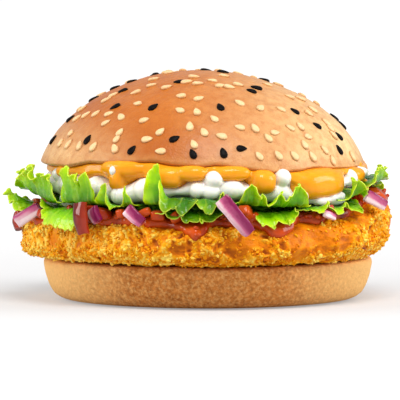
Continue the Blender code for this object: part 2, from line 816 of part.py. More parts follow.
def make_chunk(row, collection, material):
    """A cut piece of onion or tomato: a block that tapers a little and curves along its length."""
    name, angle, radius, height, size, turn, curve = row
    block = bmesh.new()
    bmesh.ops.create_cube(block, size=1.0)
    lengthwise = [edge for edge in block.edges if abs(edge.verts[0].co.x - edge.verts[1].co.x) > 0.5]
    bmesh.ops.subdivide_edges(block, edges=lengthwise, cuts=3, use_grid_fill=True)
    spin = Euler([math.radians(value) for value in turn], "XYZ").to_matrix()
    x, y = plan(radius, angle)
    for vertex in block.verts:
        along = 2 * vertex.co.x
        slim = 1.0 - 0.16 * along * along
        local = Vector(
            (
                vertex.co.x * size[0],
                curve * along * along - vertex.co.z * size[2] * slim,
                vertex.co.y * size[1] * (1.0 - 0.08 * along),
            )
        )
        vertex.co = (spin @ local + Vector((x, y, height))) * MM
    mesh = bpy.data.meshes.new(name)
    block.to_mesh(mesh)
    block.free()
    return new_object(name, mesh, collection, material)


def crown_widest(angle):
    """Radius of the dome's widest level, which lies a little to the left."""
    return CROWN_RADIUS - CROWN_SHIFT * np.sin(np.radians(angle))


def crown_surface(radius, angle):
    """Height of the crown's dome: a blunt ellipse whose widest level lies under its cut rim."""
    uneven = ripple(angle, [(1, -CROWN_LEAN, 0.0), (2, 0.5, 0.8), (3, 0.4, 2.1)])
    tall = CROWN_TOP - CROWN_MIDDLE + uneven * eased(radius / 30.0)
    beyond = np.clip(radius / crown_widest(angle), 0.0, 1.0)
    return CROWN_MIDDLE + tall * (1 - beyond**CROWN_BLUNT) ** (1 / CROWN_BLUNT)


def crown_edge(angle):
    """Radius at which the dome comes down to its rim."""
    rise = (around(angle, CROWN_ROWS) + CROWN_ROUND - CROWN_MIDDLE) / (CROWN_TOP - CROWN_MIDDLE)
    return crown_widest(angle) * (1 - rise**CROWN_BLUNT) ** (1 / CROWN_BLUNT)


def make_crown_bread(collection, material):
    """The bare dome, round at its lower rim."""
    rings = [0.0, 0.26, 0.5, 0.7, 0.85, 0.94, 1.0]
    profile = [(60.0 * ring, 2.0) for ring in rings]
    profile += [(60.0, 1.0), (59.0, 0.0), (SOFT_RIM, 0.0), (CORE_RADIUS, 0.0), (0.0, 0.0)]
    crown = turned("crown", profile, CROWN_SIDES, collection, material)

    def domed(radius, angle, height):
        edge = crown_edge(angle)
        dome_radius = radius / 60.0 * edge
        under_radius = np.where(radius > SOFT_RIM + 1.0, edge - 0.8 * (60.0 - radius), radius)
        under = crown_base(np.minimum(under_radius, SOFT_RIM), angle)
        on_dome = height > 1.5
        low = under + 0.5 * CROWN_ROUND * height
        return (
            np.where(on_dome, dome_radius, under_radius),
            angle,
            np.where(on_dome, crown_surface(dome_radius, angle), low),
        )

    reshape(crown, domed)
    return crown


def dome_height(east, north):
    """Height of the dome over a place."""
    return crown_surface(np.hypot(east, north), np.degrees(np.arctan2(east, -north)))


def shown_place(across, down):
    """Place on the front of the dome that shows at a point of the front view."""
    east = (across - VIEW_MIDDLE) * VIEW_STEP
    shown = (VIEW_FLOOR - down) * VIEW_STEP
    tilt = math.radians(VIEW_TILT)
    north = np.linspace(-math.sqrt(max(SEED_SPREAD**2 - east**2, 0.0)), 12.0, 400)
    seen = dome_height(np.full_like(north, east), north) * math.cos(tilt) + north * math.sin(tilt)
    return east, float(north[np.argmin(np.abs(seen - shown))])


def seed_places():
    """(centre, outward normal, direction of the tip, size share) of each seed.

    Those of the front lie where they show; the others are strewn evenly over the back.
    """
    draw = np.random.default_rng(42)
    rows = []
    for across, down, tip in PALE_SEED_ROWS + BLACK_SEED_ROWS:
        heading = Vector((math.cos(math.radians(tip)), 0.0, math.sin(math.radians(tip))))
        rows.append((*shown_place(across, down), heading, draw.uniform(0.92, 1.08)))
    golden = 180.0 * (3.0 - math.sqrt(5.0))
    for number in range(SEED_COUNT):
        x, y = plan(SEED_SPREAD * math.sqrt((number + 0.6) / SEED_COUNT), number * golden)
        x, y = x + draw.uniform(-1.3, 1.3), y + draw.uniform(-1.3, 1.3)
        turn, share = draw.uniform(0, 2 * math.pi), draw.uniform(0.9, 1.1)
        if y > SEED_BACK and math.hypot(x, y) < SEED_SPREAD:
            rows.append((x, y, Vector((math.cos(turn), math.sin(turn), 0.0)), share))
    places = []
    step = 0.2
    for x, y, heading, share in rows:
        z = float(dome_height(x, y))
        slope_x, slope_y = z - float(dome_height(x + step, y)), z - float(dome_height(x, y + step))
        normal = Vector((slope_x, slope_y, step)).normalized()
        places.append((Vector((x, y, z)), normal, heading, share))
    return places


def make_seed(number, place, collection):
    """A flat teardrop, three fifths of it proud of the crust."""
    centre, normal, heading, share = place
    seed = bmesh.new()
    bmesh.ops.create_uvsphere(seed, u_segments=5, v_segments=3, radius=1.0)
    long, wide, deep = (0.5 * side * share for side in SEED_SIZE)
    tip = (heading - normal * heading.dot(normal)).normalized()
    side = normal.cross(tip)
    for vertex in seed.verts:
        slim = 1.0 - SEED_TAPER * vertex.co.x
        along, across = vertex.co.x * long, vertex.co.y * wide * slim
        proud = vertex.co.z * deep * slim + 0.1 * SEED_SIZE[2]
        vertex.co = (centre + tip * along + side * across + normal * proud) * MM
    mesh = bpy.data.meshes.new(f"seed_{number}")
    seed.to_mesh(mesh)
    seed.free()
    return new_object(mesh.name, mesh, collection)


def make_crown(collection, helpers, material):
    """The dome with its seeds fused on."""
    crown = make_crown_bread(collection, material)
    for number, place in enumerate(seed_places()):
        make_seed(number, place, helpers)
    join = crown.modifiers.new("seeds", "BOOLEAN")
    join.operation = "UNION"
    join.operand_type = "COLLECTION"
    join.collection = helpers
    join.solver = "MANIFOLD"
    applied(crown)
    for seed in list(helpers.objects):
        bpy.data.objects.remove(seed, do_unlink=True)
    return crown


def main():
    clear_scene()
    burger = bpy.data.collections.new("chicken_burger")
    helpers = bpy.data.collections.new("helpers")
    bpy.context.scene.collection.children.link(burger)
    bpy.context.scene.collection.children.link(helpers)

    make_heel(burger, plain_material("heel_crust", HEEL_CRUST, 0.75))
    make_patty(burger, plain_material("breading", BREADING, 0.6))
    make_salsa(burger, plain_material("salsa", SALSA_RED, 0.25))
    make_mayonnaise(burger, plain_material("mayonnaise", MAYO_WHITE, 0.3))
    make_cheese_sauce(burger, plain_material("cheese_sauce", CHEESE_YELLOW, 0.25))
    make_crown(burger, helpers, plain_material("crown_crust", CRUST, 0.45))

    lettuce = plain_material("lettuce", LETTUCE_GREEN, 0.35)
    make_lettuce_bed(burger, lettuce)
    for tier, spans in LEAF_SPANS.items():
        for number, span in enumerate(spans, 1):
            make_leaf(tier, span, f"lettuce_{tier}_{number}", burger, lettuce)

    onion = plain_material("onion", ONION_PINK, 0.35)
    for row in ONION_ROWS:
        make_chunk(row, burger, onion)
    tomato = plain_material("tomato", TOMATO_RED, 0.2)
    for row in TOMATO_ROWS:
        make_chunk(row, burger, tomato)


main()
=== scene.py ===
"""Looks of a chicken burger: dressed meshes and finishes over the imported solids.

Every shape is worked out in millimetres on a grid of two parameters and written to its mesh in metres.
Angles are degrees round the burger: 0 is the front (-Y) and 90 the right-hand side (+X).
"""

from __future__ import annotations

import logging
import math
from collections.abc import Callable, Sequence
from dataclasses import dataclass, field
from enum import Enum

import bpy
import numpy as np
from mathutils import Euler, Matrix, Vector

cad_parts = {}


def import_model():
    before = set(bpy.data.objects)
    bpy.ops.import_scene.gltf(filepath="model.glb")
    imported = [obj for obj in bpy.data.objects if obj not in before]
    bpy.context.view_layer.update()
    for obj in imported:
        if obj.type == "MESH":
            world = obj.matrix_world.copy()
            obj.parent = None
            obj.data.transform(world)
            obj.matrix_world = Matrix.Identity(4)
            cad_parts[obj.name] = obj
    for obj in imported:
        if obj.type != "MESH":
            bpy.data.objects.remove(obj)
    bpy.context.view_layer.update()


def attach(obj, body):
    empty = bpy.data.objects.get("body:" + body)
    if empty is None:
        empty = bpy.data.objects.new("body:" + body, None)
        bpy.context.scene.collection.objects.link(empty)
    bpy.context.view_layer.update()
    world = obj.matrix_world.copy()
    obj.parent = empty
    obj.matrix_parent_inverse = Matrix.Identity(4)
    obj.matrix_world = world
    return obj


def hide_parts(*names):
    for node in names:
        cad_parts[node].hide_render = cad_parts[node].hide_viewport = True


LOG = logging.getLogger("burger")
MM = 0.001
Array = np.ndarray
Colour = tuple[float, float, float]
Rows = Sequence[tuple[float, ...]]
Piece = bpy.types.Object
Socket = bpy.types.NodeSocket

# Odd numbers that mix a cell's three places and a seed into one draw
CELL_MIX = (73856093, 19349663, 83492791)
SEED_MIX = 40503
DRAW_MIX = 1274126177


class Tier(Enum):
    """Which tier of leaves a leaf belongs to."""

    LOW = "low"
    HIGH = "high"


class SeedKind(Enum):
    """The two kinds of sesame seed."""

    PALE = "pale"
    BLACK = "black"


# ---- curves and fields ----


def eased(share: Array) -> Array:
    """Smooth step: 3 s squared minus 2 s cubed, for s held between 0 and 1."""
    share = np.clip(share, 0.0, 1.0)
    return share * share * (3.0 - 2.0 * share)


def around(angle: Array, rows: Rows, column: int = 1) -> Array:
    """Value of a table at an angle, eased from row to row round the circle.

    Args:
        angle: Angles in degrees.
        rows: Rows that start with an angle.
        column: Which entry of a row is read.

    Returns:
        One value for each angle.
    """
    rows = sorted(rows)
    angles = np.array([row[0] for row in rows] + [rows[0][0] + 360.0])
    values = np.array([row[column] for row in rows] + [rows[0][column]])
    angle = (np.asarray(angle, float) - angles[0]) % 360.0 + angles[0]
    place = np.clip(np.searchsorted(angles, angle, side="right") - 1, 0, len(rows) - 1)
    share = (angle - angles[place]) / (angles[place + 1] - angles[place])
    return values[place] + eased(share) * (values[place + 1] - values[place])


def ripple(angle: Array, waves: Rows) -> Array:
    """Sum of sine waves round the circle, each of (how many, size, phase)."""
    turn = np.radians(angle)
    return sum(size * np.sin(count * turn + phase) for count, size, phase in waves)


def ring(count: int) -> Array:
    """Even angles round the burger, in degrees."""
    return np.linspace(0, 360, count, endpoint=False)


def plan(radius: Array, angle: Array) -> tuple[Array, Array]:
    """East and north of a point: radius times sine, and minus radius times cosine, of its angle."""
    turn = np.radians(angle)
    return radius * np.sin(turn), -radius * np.cos(turn)


def back_rows(start: float, stop: float, count: int, seed: int, spans: Rows) -> list[tuple[float, ...]]:
    """Rows for the side that faces away: even angles, values drawn near each span's ends by turns.

    Args:
        start: First angle.
        stop: Last angle.
        count: How many rows.
        seed: Seed of the draw.
        spans: (lowest, highest) of each value.

    Returns:
        The rows.
    """
    draw = np.random.default_rng(seed)
    rows = []
    for place, angle in enumerate(np.linspace(start, stop, count)):
        near = 0.18 + 0.64 * (place % 2) + draw.uniform(-0.18, 0.18, len(spans))
        rows.append((angle, *[low + (high - low) * share for (low, high), share in zip(spans, near)]))
    return rows


def spots(radius: Array, height: Array, angle: Array) -> Array:
    """Places east, north and up of points at radii, heights and angles."""
    return np.stack([*plan(radius, angle), height], axis=-1)


def unit(vectors: Array) -> Array:
    """Vectors over their own length."""
    return vectors / np.maximum(np.linalg.norm(vectors, axis=-1, keepdims=True), 1e-9)


# ---- noise ----


def lattice(cells: Array, seed: int) -> Array:
    """A draw from 0 to 1 for each whole-number cell, by mixing its three numbers.

    Args:
        cells: Whole numbers, three to a row.
        seed: Seed of the mix.

    Returns:
        One draw for each row.
    """
    east, north, up = (cells[..., k] * CELL_MIX[k] for k in range(3))
    mixed = east ^ north ^ up ^ (seed * SEED_MIX)
    mixed = (mixed ^ (mixed >> 13)) * DRAW_MIX
    mixed = mixed ^ (mixed >> 15)
    return (mixed & 0xFFFFF) / float(0xFFFFF)


def soft_noise(points: Array, size: float, seed: int) -> Array:
    """Smooth noise: draws at the corners of cubes of a size, eased between the eight corners.

    Args:
        points: Places, three numbers to a row.
        size: Side of a cube.
        seed: Seed of the draws.

    Returns:
        Values from -1 to 1.
    """
    place = points / size
    cell = np.floor(place).astype(np.int64)
    share = eased(place - cell)
    total = np.zeros(points.shape[:-1])
    for corner in np.ndindex(2, 2, 2):
        step = np.array(corner)
        weight = np.prod(np.where(step, share, 1.0 - share), axis=-1)
        total += weight * lattice(cell + step, seed)
    return 2.0 * total - 1.0


def grains(points: Array, size: float, seed: int) -> tuple[Array, Array]:
    """Cellular noise: distance to the nearest of one drawn point in each cube.

    Args:
        points: Places, three numbers to a row.
        size: Side of a cube.
        seed: Seed of the draws.

    Returns:
        The distance in cube sides, and a draw from 0 to 1 that belongs to the nearest point.
    """
    place = points / size
    cell = np.floor(place).astype(np.int64)
    nearest = np.full(points.shape[:-1], 9.0)
    tone = np.zeros(points.shape[:-1])
    for offset in np.ndindex(3, 3, 3):
        home = cell + np.array(offset) - 1
        centre = home + np.stack([lattice(home, seed + k) for k in range(3)], axis=-1)
        distance = np.linalg.norm(place - centre, axis=-1)
        closer = distance < nearest
        tone = np.where(closer, lattice(home, seed + 7), tone)
        nearest = np.where(closer, distance, nearest)
    return nearest, tone


def ridges(points: Array, size: float, seed: int) -> Array:
    """Sharp winding crests, from 0 to 1: one minus the size of smooth noise, squared, at two scales."""
    broad, fine = soft_noise(points, size, seed), soft_noise(points, size * 0.46, seed + 1)
    return 0.62 * (1 - np.abs(broad)) ** 2 + 0.38 * (1 - np.abs(fine)) ** 2


def relief_waves(seed: int, count: int, shortest: float, longest: float) -> tuple[Array, Array]:
    """Headings and phases of drawn plane waves whose sum is an even relief.

    Args:
        seed: Seed of the draw.
        count: How many waves.
        shortest: Shortest wave.
        longest: Longest wave.

    Returns:
        Headings over the waves' lengths, and phases.
    """
    draw = np.random.default_rng(seed)
    heading = unit(draw.normal(size=(count, 3)))
    lengths = draw.uniform(shortest, longest, count)
    return heading * (2 * np.pi / lengths)[:, None], draw.uniform(0, 2 * np.pi, count)


def relief(points: Array, waves: tuple[Array, Array]) -> Array:
    """Sum of the waves' sines at each point over the root of their number."""
    headings, phases = waves
    return np.sin(points @ headings.T + phases).sum(axis=-1) / math.sqrt(len(phases))


# ---- the stack's own sizes, as the solids have them ----


@dataclass(frozen=True)
class Stack:
    """Sizes and height rules that the layers share."""

    core_radius: float = 38.0
    gap: float = 0.35
    heel_height: float = 13.0
    patty_middle_radius: float = 54.0
    patty_oval: float = 1.3
    patty_level: float = 25.8
    patty_right_lift: float = 5.8
    patty_left_dip: float = 2.2
    patty_edge: float = 8.0
    patty_blunt: float = 2.4
    patty_left_blunt: float = 1.2
    patty_right_blunt: float = 0.9
    salsa_depth: float = 2.7
    soft_rim: float = 45.0
    mayo_radius: float = 47.4
    mayo_bulge: float = 1.6
    mayo_rise: float = 7.2
    cheese_radius: float = 48.2
    cheese_bulge: float = 1.5
    cheese_depth: float = 4.0
    crown_radius: float = 50.0
    crown_shift: float = 1.5
    crown_lean: float = 0.8
    crown_middle: float = 34.5
    crown_under: float = 41.5
    crown_round: float = 1.2
    crown_top: float = 68.7
    crown_blunt: float = 1.96
    rim_rows: Rows = (
        (-90, 38.5, 33.0), (-74, 38.0, 32.2), (-64, 38.6, 31.2), (-57, 39.0, 31.5), (-50, 38.0, 31.7),
        (-43, 39.0, 31.6), (-37, 37.5, 31.8), (-31, 37.4, 31.4), (-25, 39.0, 31.8), (-18, 38.3, 32.2),
        (-11, 36.9, 34.0), (-4, 39.4, 33.8), (6, 40.0, 33.2), (13, 38.6, 32.4), (20, 35.2, 31.8),
        (27, 38.8, 31.8), (34, 36.0, 31.4), (43, 33.4, 31.4), (52, 35.2, 32.4), (60, 38.6, 35.0),
        (70, 38.4, 36.4), (79, 39.4, 36.4), (87, 38.0, 36.8), (96, 39.6, 36.2), (105, 38.2, 36.6),
        (114, 39.4, 35.6),
        *back_rows(123, 260, 14, 3, [(36.0, 40.0), (35.4, 32.4)]),
    )
    crown_rows: Rows = (
        (-80, 41.0), (-60, 41.3), (-45, 43.0), (-31, 43.5), (-20, 43.9), (-11, 43.0), (-3, 42.5), (3, 43.0),
        (12, 42.1), (19, 41.3), (25, 40.6), (34, 40.8), (43, 41.5), (53, 41.0), (68, 40.6), (90, 41.0),
        (110, 41.8), (150, 41.5), (190, 42.4), (230, 41.6),
    )
    salsa_rows: Rows = (
        (-90, 62), (-75, 50), (-68, 56), (-60, 60), (-52, 62), (-45, 54), (-36, 56), (-30, 58), (-24, 62),
        (-19, 56), (-14, 52), (-9, 46), (-6.5, 30), (-4, 15), (-1, 26), (1.5, 56), (5, 70), (12, 66),
        (16, 60), (18.5, 42), (21, 21), (25, 24), (29, 32), (31.5, 62), (35, 74), (40, 60), (43, 66),
        (47, 80), (66, 84), (80, 84),
        *back_rows(92, 258, 13, 5, [(30, 68)]),
    )

    def patty_radius(self, angle: Array) -> Array:
        """Outline of the patty: an oval with three slow waves."""
        oval = self.patty_middle_radius - self.patty_oval * np.cos(2 * np.radians(angle))
        return oval + ripple(angle, [(3, 0.45, 1.0), (5, 0.35, 2.2), (9, 0.3, 0.5)])

    def patty_top(self, x: Array, y: Array) -> Array:
        """Height of the patty's top: a level that rises at the right end and dips at the left.

        Args:
            x: East.
            y: North.

        Returns:
            Heights.
        """
        lift = self.patty_right_lift * eased((x - 36.0) / 15.0)
        dip = self.patty_left_dip * eased((-x - 34.0) / 18.0)
        return self.patty_level + lift - dip + 0.35 * np.sin(x / 8.5 + 1.0) * np.cos(y / 10.0)

    def patty_base(self, x: Array) -> Array:
        """Height of the patty's underside, a little raised at the right end."""
        return self.heel_height + self.gap + 0.8 * eased((x - 44.0) / 10.0)

    def patty_middle(self, radius: Array, angle: Array) -> tuple[Array, Array]:
        """Mid height and half thickness of the patty."""
        top, base = self.patty_top(*plan(radius, angle)), self.patty_base(plan(radius, angle)[0])
        return (top + base) / 2, (top - base) / 2

    def patty_square(self, angle: Array, above: Array | bool = True) -> Array:
        """How square the patty's edge is: upright on the left; on the right full above and cut back below.

        Args:
            angle: Angles round the burger.
            above: Whether a point is above the rim.

        Returns:
            Power of the edge's ellipse.
        """
        side = np.sin(np.radians(angle))
        left, right = eased((-side - 0.4) / 0.5), eased((side - 0.4) / 0.5)
        fuller = np.where(above, 1.0, -0.7) * self.patty_right_blunt * right
        return self.patty_blunt + self.patty_left_blunt * left + fuller

    def patty_rim(self, angle: Array, slope: Array, out: Array) -> tuple[Array, Array]:
        """A point on the patty's rounded edge: a blunt ellipse of the edge width and half thickness.

        Args:
            angle: Angle round the burger.
            slope: 90 at the shoulder, 0 at the rim, -90 at the underside.
            out: Distance off the surface.

        Returns:
            Radius and height.
        """
        shoulder = self.patty_radius(angle) - self.patty_edge
        middle, half = self.patty_middle(shoulder, angle)
        level, rise = np.maximum(np.cos(np.radians(slope)), 0.0), np.sin(np.radians(slope))
        power = 2.0 / self.patty_square(angle, slope >= 0)
        lean = level ** (2 - power) / self.patty_edge
        climb = np.sign(rise) * np.abs(rise) ** (2 - power) / half
        steep = np.hypot(lean, climb)
        radius = shoulder + self.patty_edge * level**power + out * lean / steep
        height = middle + half * np.sign(rise) * np.abs(rise) ** power + out * climb / steep
        return radius, height

    def over_patty(self, radius: Array, angle: Array, out: float) -> Array:
        """Height of a surface that keeps a distance off the patty and falls away round its shoulder.

        Args:
            radius: Radii from its axis.
            angle: Angles round the burger.
            out: The distance.

        Returns:
            Heights.
        """
        shoulder = self.patty_radius(angle) - self.patty_edge
        middle, half = self.patty_middle(np.minimum(radius, shoulder), angle)
        beyond = np.clip((radius - shoulder) / (self.patty_edge + out), 0.0, 1.0)
        blunt = self.patty_square(angle)
        return middle + (half + out) * (1 - beyond**blunt) ** (1 / blunt)

    def off_patty(self, radius: Array, height: Array, angle: Array, out: float) -> tuple[Array, Array]:
        """Points nearer than a distance to the patty's edge, moved away from the edge's middle.

        Args:
            radius: Radii from its axis.
            height: Heights.
            angle: Angles round the burger.
            out: The distance.

        Returns:
            New radii and heights.
        """
        shoulder = self.patty_radius(angle) - self.patty_edge
        middle, half = self.patty_middle(shoulder, angle)
        across = np.maximum(radius - shoulder, 0.0) / (self.patty_edge + out)
        up = np.maximum(height - middle, 0.0) / (half + out)
        blunt = self.patty_square(angle)
        depth = np.maximum(across**blunt + up**blunt, 1e-6)
        grow = np.where(depth < 1.0, depth ** (-1 / blunt), 1.0)
        outside = radius > shoulder
        new_radius = np.where(outside, shoulder + (radius - shoulder) * grow, radius)
        new_height = np.where(outside & (height > middle), middle + (height - middle) * grow, height)
        floor = self.over_patty(radius, angle, out)
        return new_radius, np.where(outside, new_height, np.maximum(height, floor))

    def rim_share(self, radius: Array) -> Array:
        """0 in the core, 1 where a soft layer takes the height of its rim."""
        return eased((radius - self.core_radius) / (self.soft_rim - self.core_radius))

    def crown_base(self, radius: Array, angle: Array) -> Array:
        """Height of the crown's underside."""
        rim = around(angle, self.crown_rows)
        return self.crown_under + (rim - self.crown_under) * self.rim_share(radius)

    def mayo_base(self, radius: Array, angle: Array) -> Array:
        """Height of the mayonnaise's underside."""
        inner = self.patty_top(*plan(radius, angle)) + self.mayo_rise
        return inner + (around(angle, self.rim_rows, 2) - inner) * self.rim_share(radius)

    def cheese_base(self, radius: Array, angle: Array) -> Array:
        """Height of the cheese sauce's underside."""
        inner = self.crown_base(radius, angle) - self.cheese_depth
        return inner + (around(angle, self.rim_rows, 1) - inner) * self.rim_share(radius)

    def mayo_share(self, angle: Array) -> Array:
        """1 where the mayonnaise bulges past the cheese sauce, 0 where the sauce hangs over it."""
        return eased((around(angle, self.rim_rows, 1) - 35.0) / 3.5)

    def crown_widest(self, angle: Array) -> Array:
        """Radius of the dome's widest level, which lies a little to the left."""
        return self.crown_radius - self.crown_shift * np.sin(np.radians(angle))

    def crown_surface(self, radius: Array, angle: Array) -> Array:
        """Height of the dome: a blunt ellipse whose widest level lies under its cut rim.

        Args:
            radius: Radii from its axis.
            angle: Angles round the burger.

        Returns:
            Heights.
        """
        uneven = ripple(angle, [(1, -self.crown_lean, 0.0), (2, 0.5, 0.8), (3, 0.4, 2.1)])
        tall = self.crown_top - self.crown_middle + uneven * eased(radius / 30.0)
        beyond = np.clip(radius / self.crown_widest(angle), 0.0, 1.0)
        return self.crown_middle + tall * (1 - beyond**self.crown_blunt) ** (1 / self.crown_blunt)

    def crown_edge(self, angle: Array) -> Array:
        """Radius at which the dome comes down to its rim.

        Args:
            angle: Angles round the burger.

        Returns:
            Radii.
        """
        tall = self.crown_top - self.crown_middle
        rise = (around(angle, self.crown_rows) + self.crown_round - self.crown_middle) / tall
        return self.crown_widest(angle) * (1 - rise**self.crown_blunt) ** (1 / self.crown_blunt)


# ---- meshes ----


def write_mesh(
    name: str, points: Array, faces: Array, marks: dict[str, Array] | None = None
) -> Piece:
    """Puts points and faces into a new smooth mesh object.

    Args:
        name: Name of the object and its mesh.
        points: Places in millimetres, three numbers to a row.
        faces: Vertex numbers, three or four to a row; a fourth below zero marks a triangle.
        marks: Values for each vertex, kept as attributes that the finishes read.

    Returns:
        The object, linked to the scene.
    """
    mesh = bpy.data.meshes.new(name)
    if faces.shape[1] == 4 and (faces[:, 3] < 0).any():
        keep = faces >= 0
        loops, sizes = faces[keep], keep.sum(axis=1)
    else:
        loops, sizes = faces.ravel(), np.full(len(faces), faces.shape[1])
    mesh.vertices.add(len(points))
    mesh.vertices.foreach_set("co", (np.asarray(points) * MM).astype(np.float32).ravel())
    mesh.loops.add(len(loops))
    mesh.loops.foreach_set("vertex_index", loops.astype(np.int32))
    mesh.polygons.add(len(sizes))
    mesh.polygons.foreach_set("loop_start", np.concatenate([[0], np.cumsum(sizes)[:-1]]).astype(np.int32))
    mesh.update(calc_edges=True)
    mesh.validate()
    mesh.shade_smooth()
    for mark, values in (marks or {}).items():
        layer = mesh.attributes.new(mark, "FLOAT", "POINT")
        layer.data.foreach_set("value", np.asarray(values, np.float32).ravel())
    item = bpy.data.objects.new(name, mesh)
    bpy.context.scene.collection.objects.link(item)
    return item


def shell_faces(rows: int, columns: int) -> Array:
    """Faces of a grid that closes round its columns and ends in a pole above and one below.

    The poles are the last two vertices. Rows run from the top to the foot, columns anticlockwise from above.

    Args:
        rows: Rings of the grid.
        columns: Points in a ring.

    Returns:
        Faces, four to a row, the fourth -1 at a pole.
    """
    i, j = np.meshgrid(np.arange(rows - 1), np.arange(columns), indexing="ij")
    k = (j + 1) % columns
    here, below = i * columns, (i + 1) * columns
    quads = np.stack([here + j, below + j, below + k, here + k], axis=-1)
    first = np.arange(columns)
    after = (first + 1) % columns
    none = np.full(columns, -1)
    top = np.stack([np.full(columns, rows * columns), first, after, none], axis=-1)
    last = (rows - 1) * columns
    foot = np.stack([last + after, last + first, np.full(columns, rows * columns + 1), none], axis=-1)
    return np.concatenate([quads.reshape(-1, 4), top, foot])


def grid_normals(points: Array) -> Array:
    """Outward unit normals of a closed grid, from the cross product of its two central differences."""
    side = (np.roll(points, -1, axis=1) - np.roll(points, 1, axis=1)) / 2
    return unit(np.cross(np.gradient(points, axis=0), side))


def shell(name: str, points: Array, marks: dict[str, Array] | None = None) -> Piece:
    """A closed solid from a grid of places, with its two poles at the middles of the end rings.

    Args:
        name: Name of the object.
        points: (rows, columns, 3) places in millimetres.
        marks: Values on the same grid.

    Returns:
        The object.
    """
    rows, columns = points.shape[:2]
    poles = np.stack([points[0].mean(axis=0), points[-1].mean(axis=0)])
    body = np.concatenate([points.reshape(-1, 3), poles])
    kept = {}
    for mark, values in (marks or {}).items():
        ends = [values[0].mean(), values[-1].mean()]
        kept[mark] = np.concatenate([values.ravel(), ends])
    return write_mesh(name, body, shell_faces(rows, columns), kept)


def polar_grid(radius: Array, height: Array, angle: Array) -> Array:
    """(rows, columns, 3) places from radius and height grids at a row of angles."""
    x, y = plan(radius, angle[None, :])
    return np.stack([x, y, height + 0.0 * x], axis=-1)


def copies(
    name: str, form: Array, faces: Array, frames: Array, places: Array, marks: dict[str, Array]
) -> Piece:
    """Many copies of one small form joined in one mesh.

    Args:
        name: Name of the object.
        form: (n, 3) points, or (copies, n, 3) where each copy has its own.
        faces: Faces of one copy.
        frames: (copies, 3, 3) matrices that turn and size each copy.
        places: (copies, 3) centres.
        marks: One value for each copy, or one for each of its points.

    Returns:
        The object.
    """
    form = np.broadcast_to(form, (len(frames), *form.shape[-2:]))
    points = np.einsum("cij,cnj->cni", frames, form) + places[:, None, :]
    count, each = points.shape[:2]
    steps = (np.arange(count) * each)[:, None, None]
    whole = np.where(faces[None] < 0, -1, faces[None] + steps).reshape(-1, faces.shape[1])
    spread = {}
    for mark, values in marks.items():
        values = np.asarray(values)
        spread[mark] = np.repeat(values, each) if values.ndim == 1 else values.ravel()
    return write_mesh(name, points.reshape(-1, 3), whole, spread)


def ball(sides: int, rings: int) -> tuple[Array, Array]:
    """Points and faces of a unit ball: rings of latitude with a pole at each end.

    Args:
        sides: Points in a ring.
        rings: Bands from pole to pole.

    Returns:
        Points and faces.
    """
    latitude = np.radians(90 - 180 * np.arange(1, rings) / rings)[:, None]
    turn = np.radians(360 * np.arange(sides) / sides)[None, :]
    flat = np.cos(latitude)
    grid = np.stack([flat * np.sin(turn), -flat * np.cos(turn), np.sin(latitude) + 0 * turn], axis=-1)
    points = np.concatenate([grid.reshape(-1, 3), [[0, 0, 1], [0, 0, -1]]])
    return points, shell_faces(rings - 1, sides)


def frames_on(normals: Array, turns: Array) -> Array:
    """Matrices whose third column is each normal, turned about it by an angle in degrees.

    Args:
        normals: Unit normals.
        turns: Turn about each, in degrees.

    Returns:
        (n, 3, 3) matrices.
    """
    helper = np.where(np.abs(normals[:, 2:3]) < 0.9, [[0.0, 0.0, 1.0]], [[1.0, 0.0, 0.0]])
    east = unit(np.cross(helper, normals))
    north = np.cross(normals, east)
    c, s = np.cos(np.radians(turns))[:, None], np.sin(np.radians(turns))[:, None]
    return np.stack([c * east + s * north, c * north - s * east, normals], axis=-1)


# ---- finishes ----


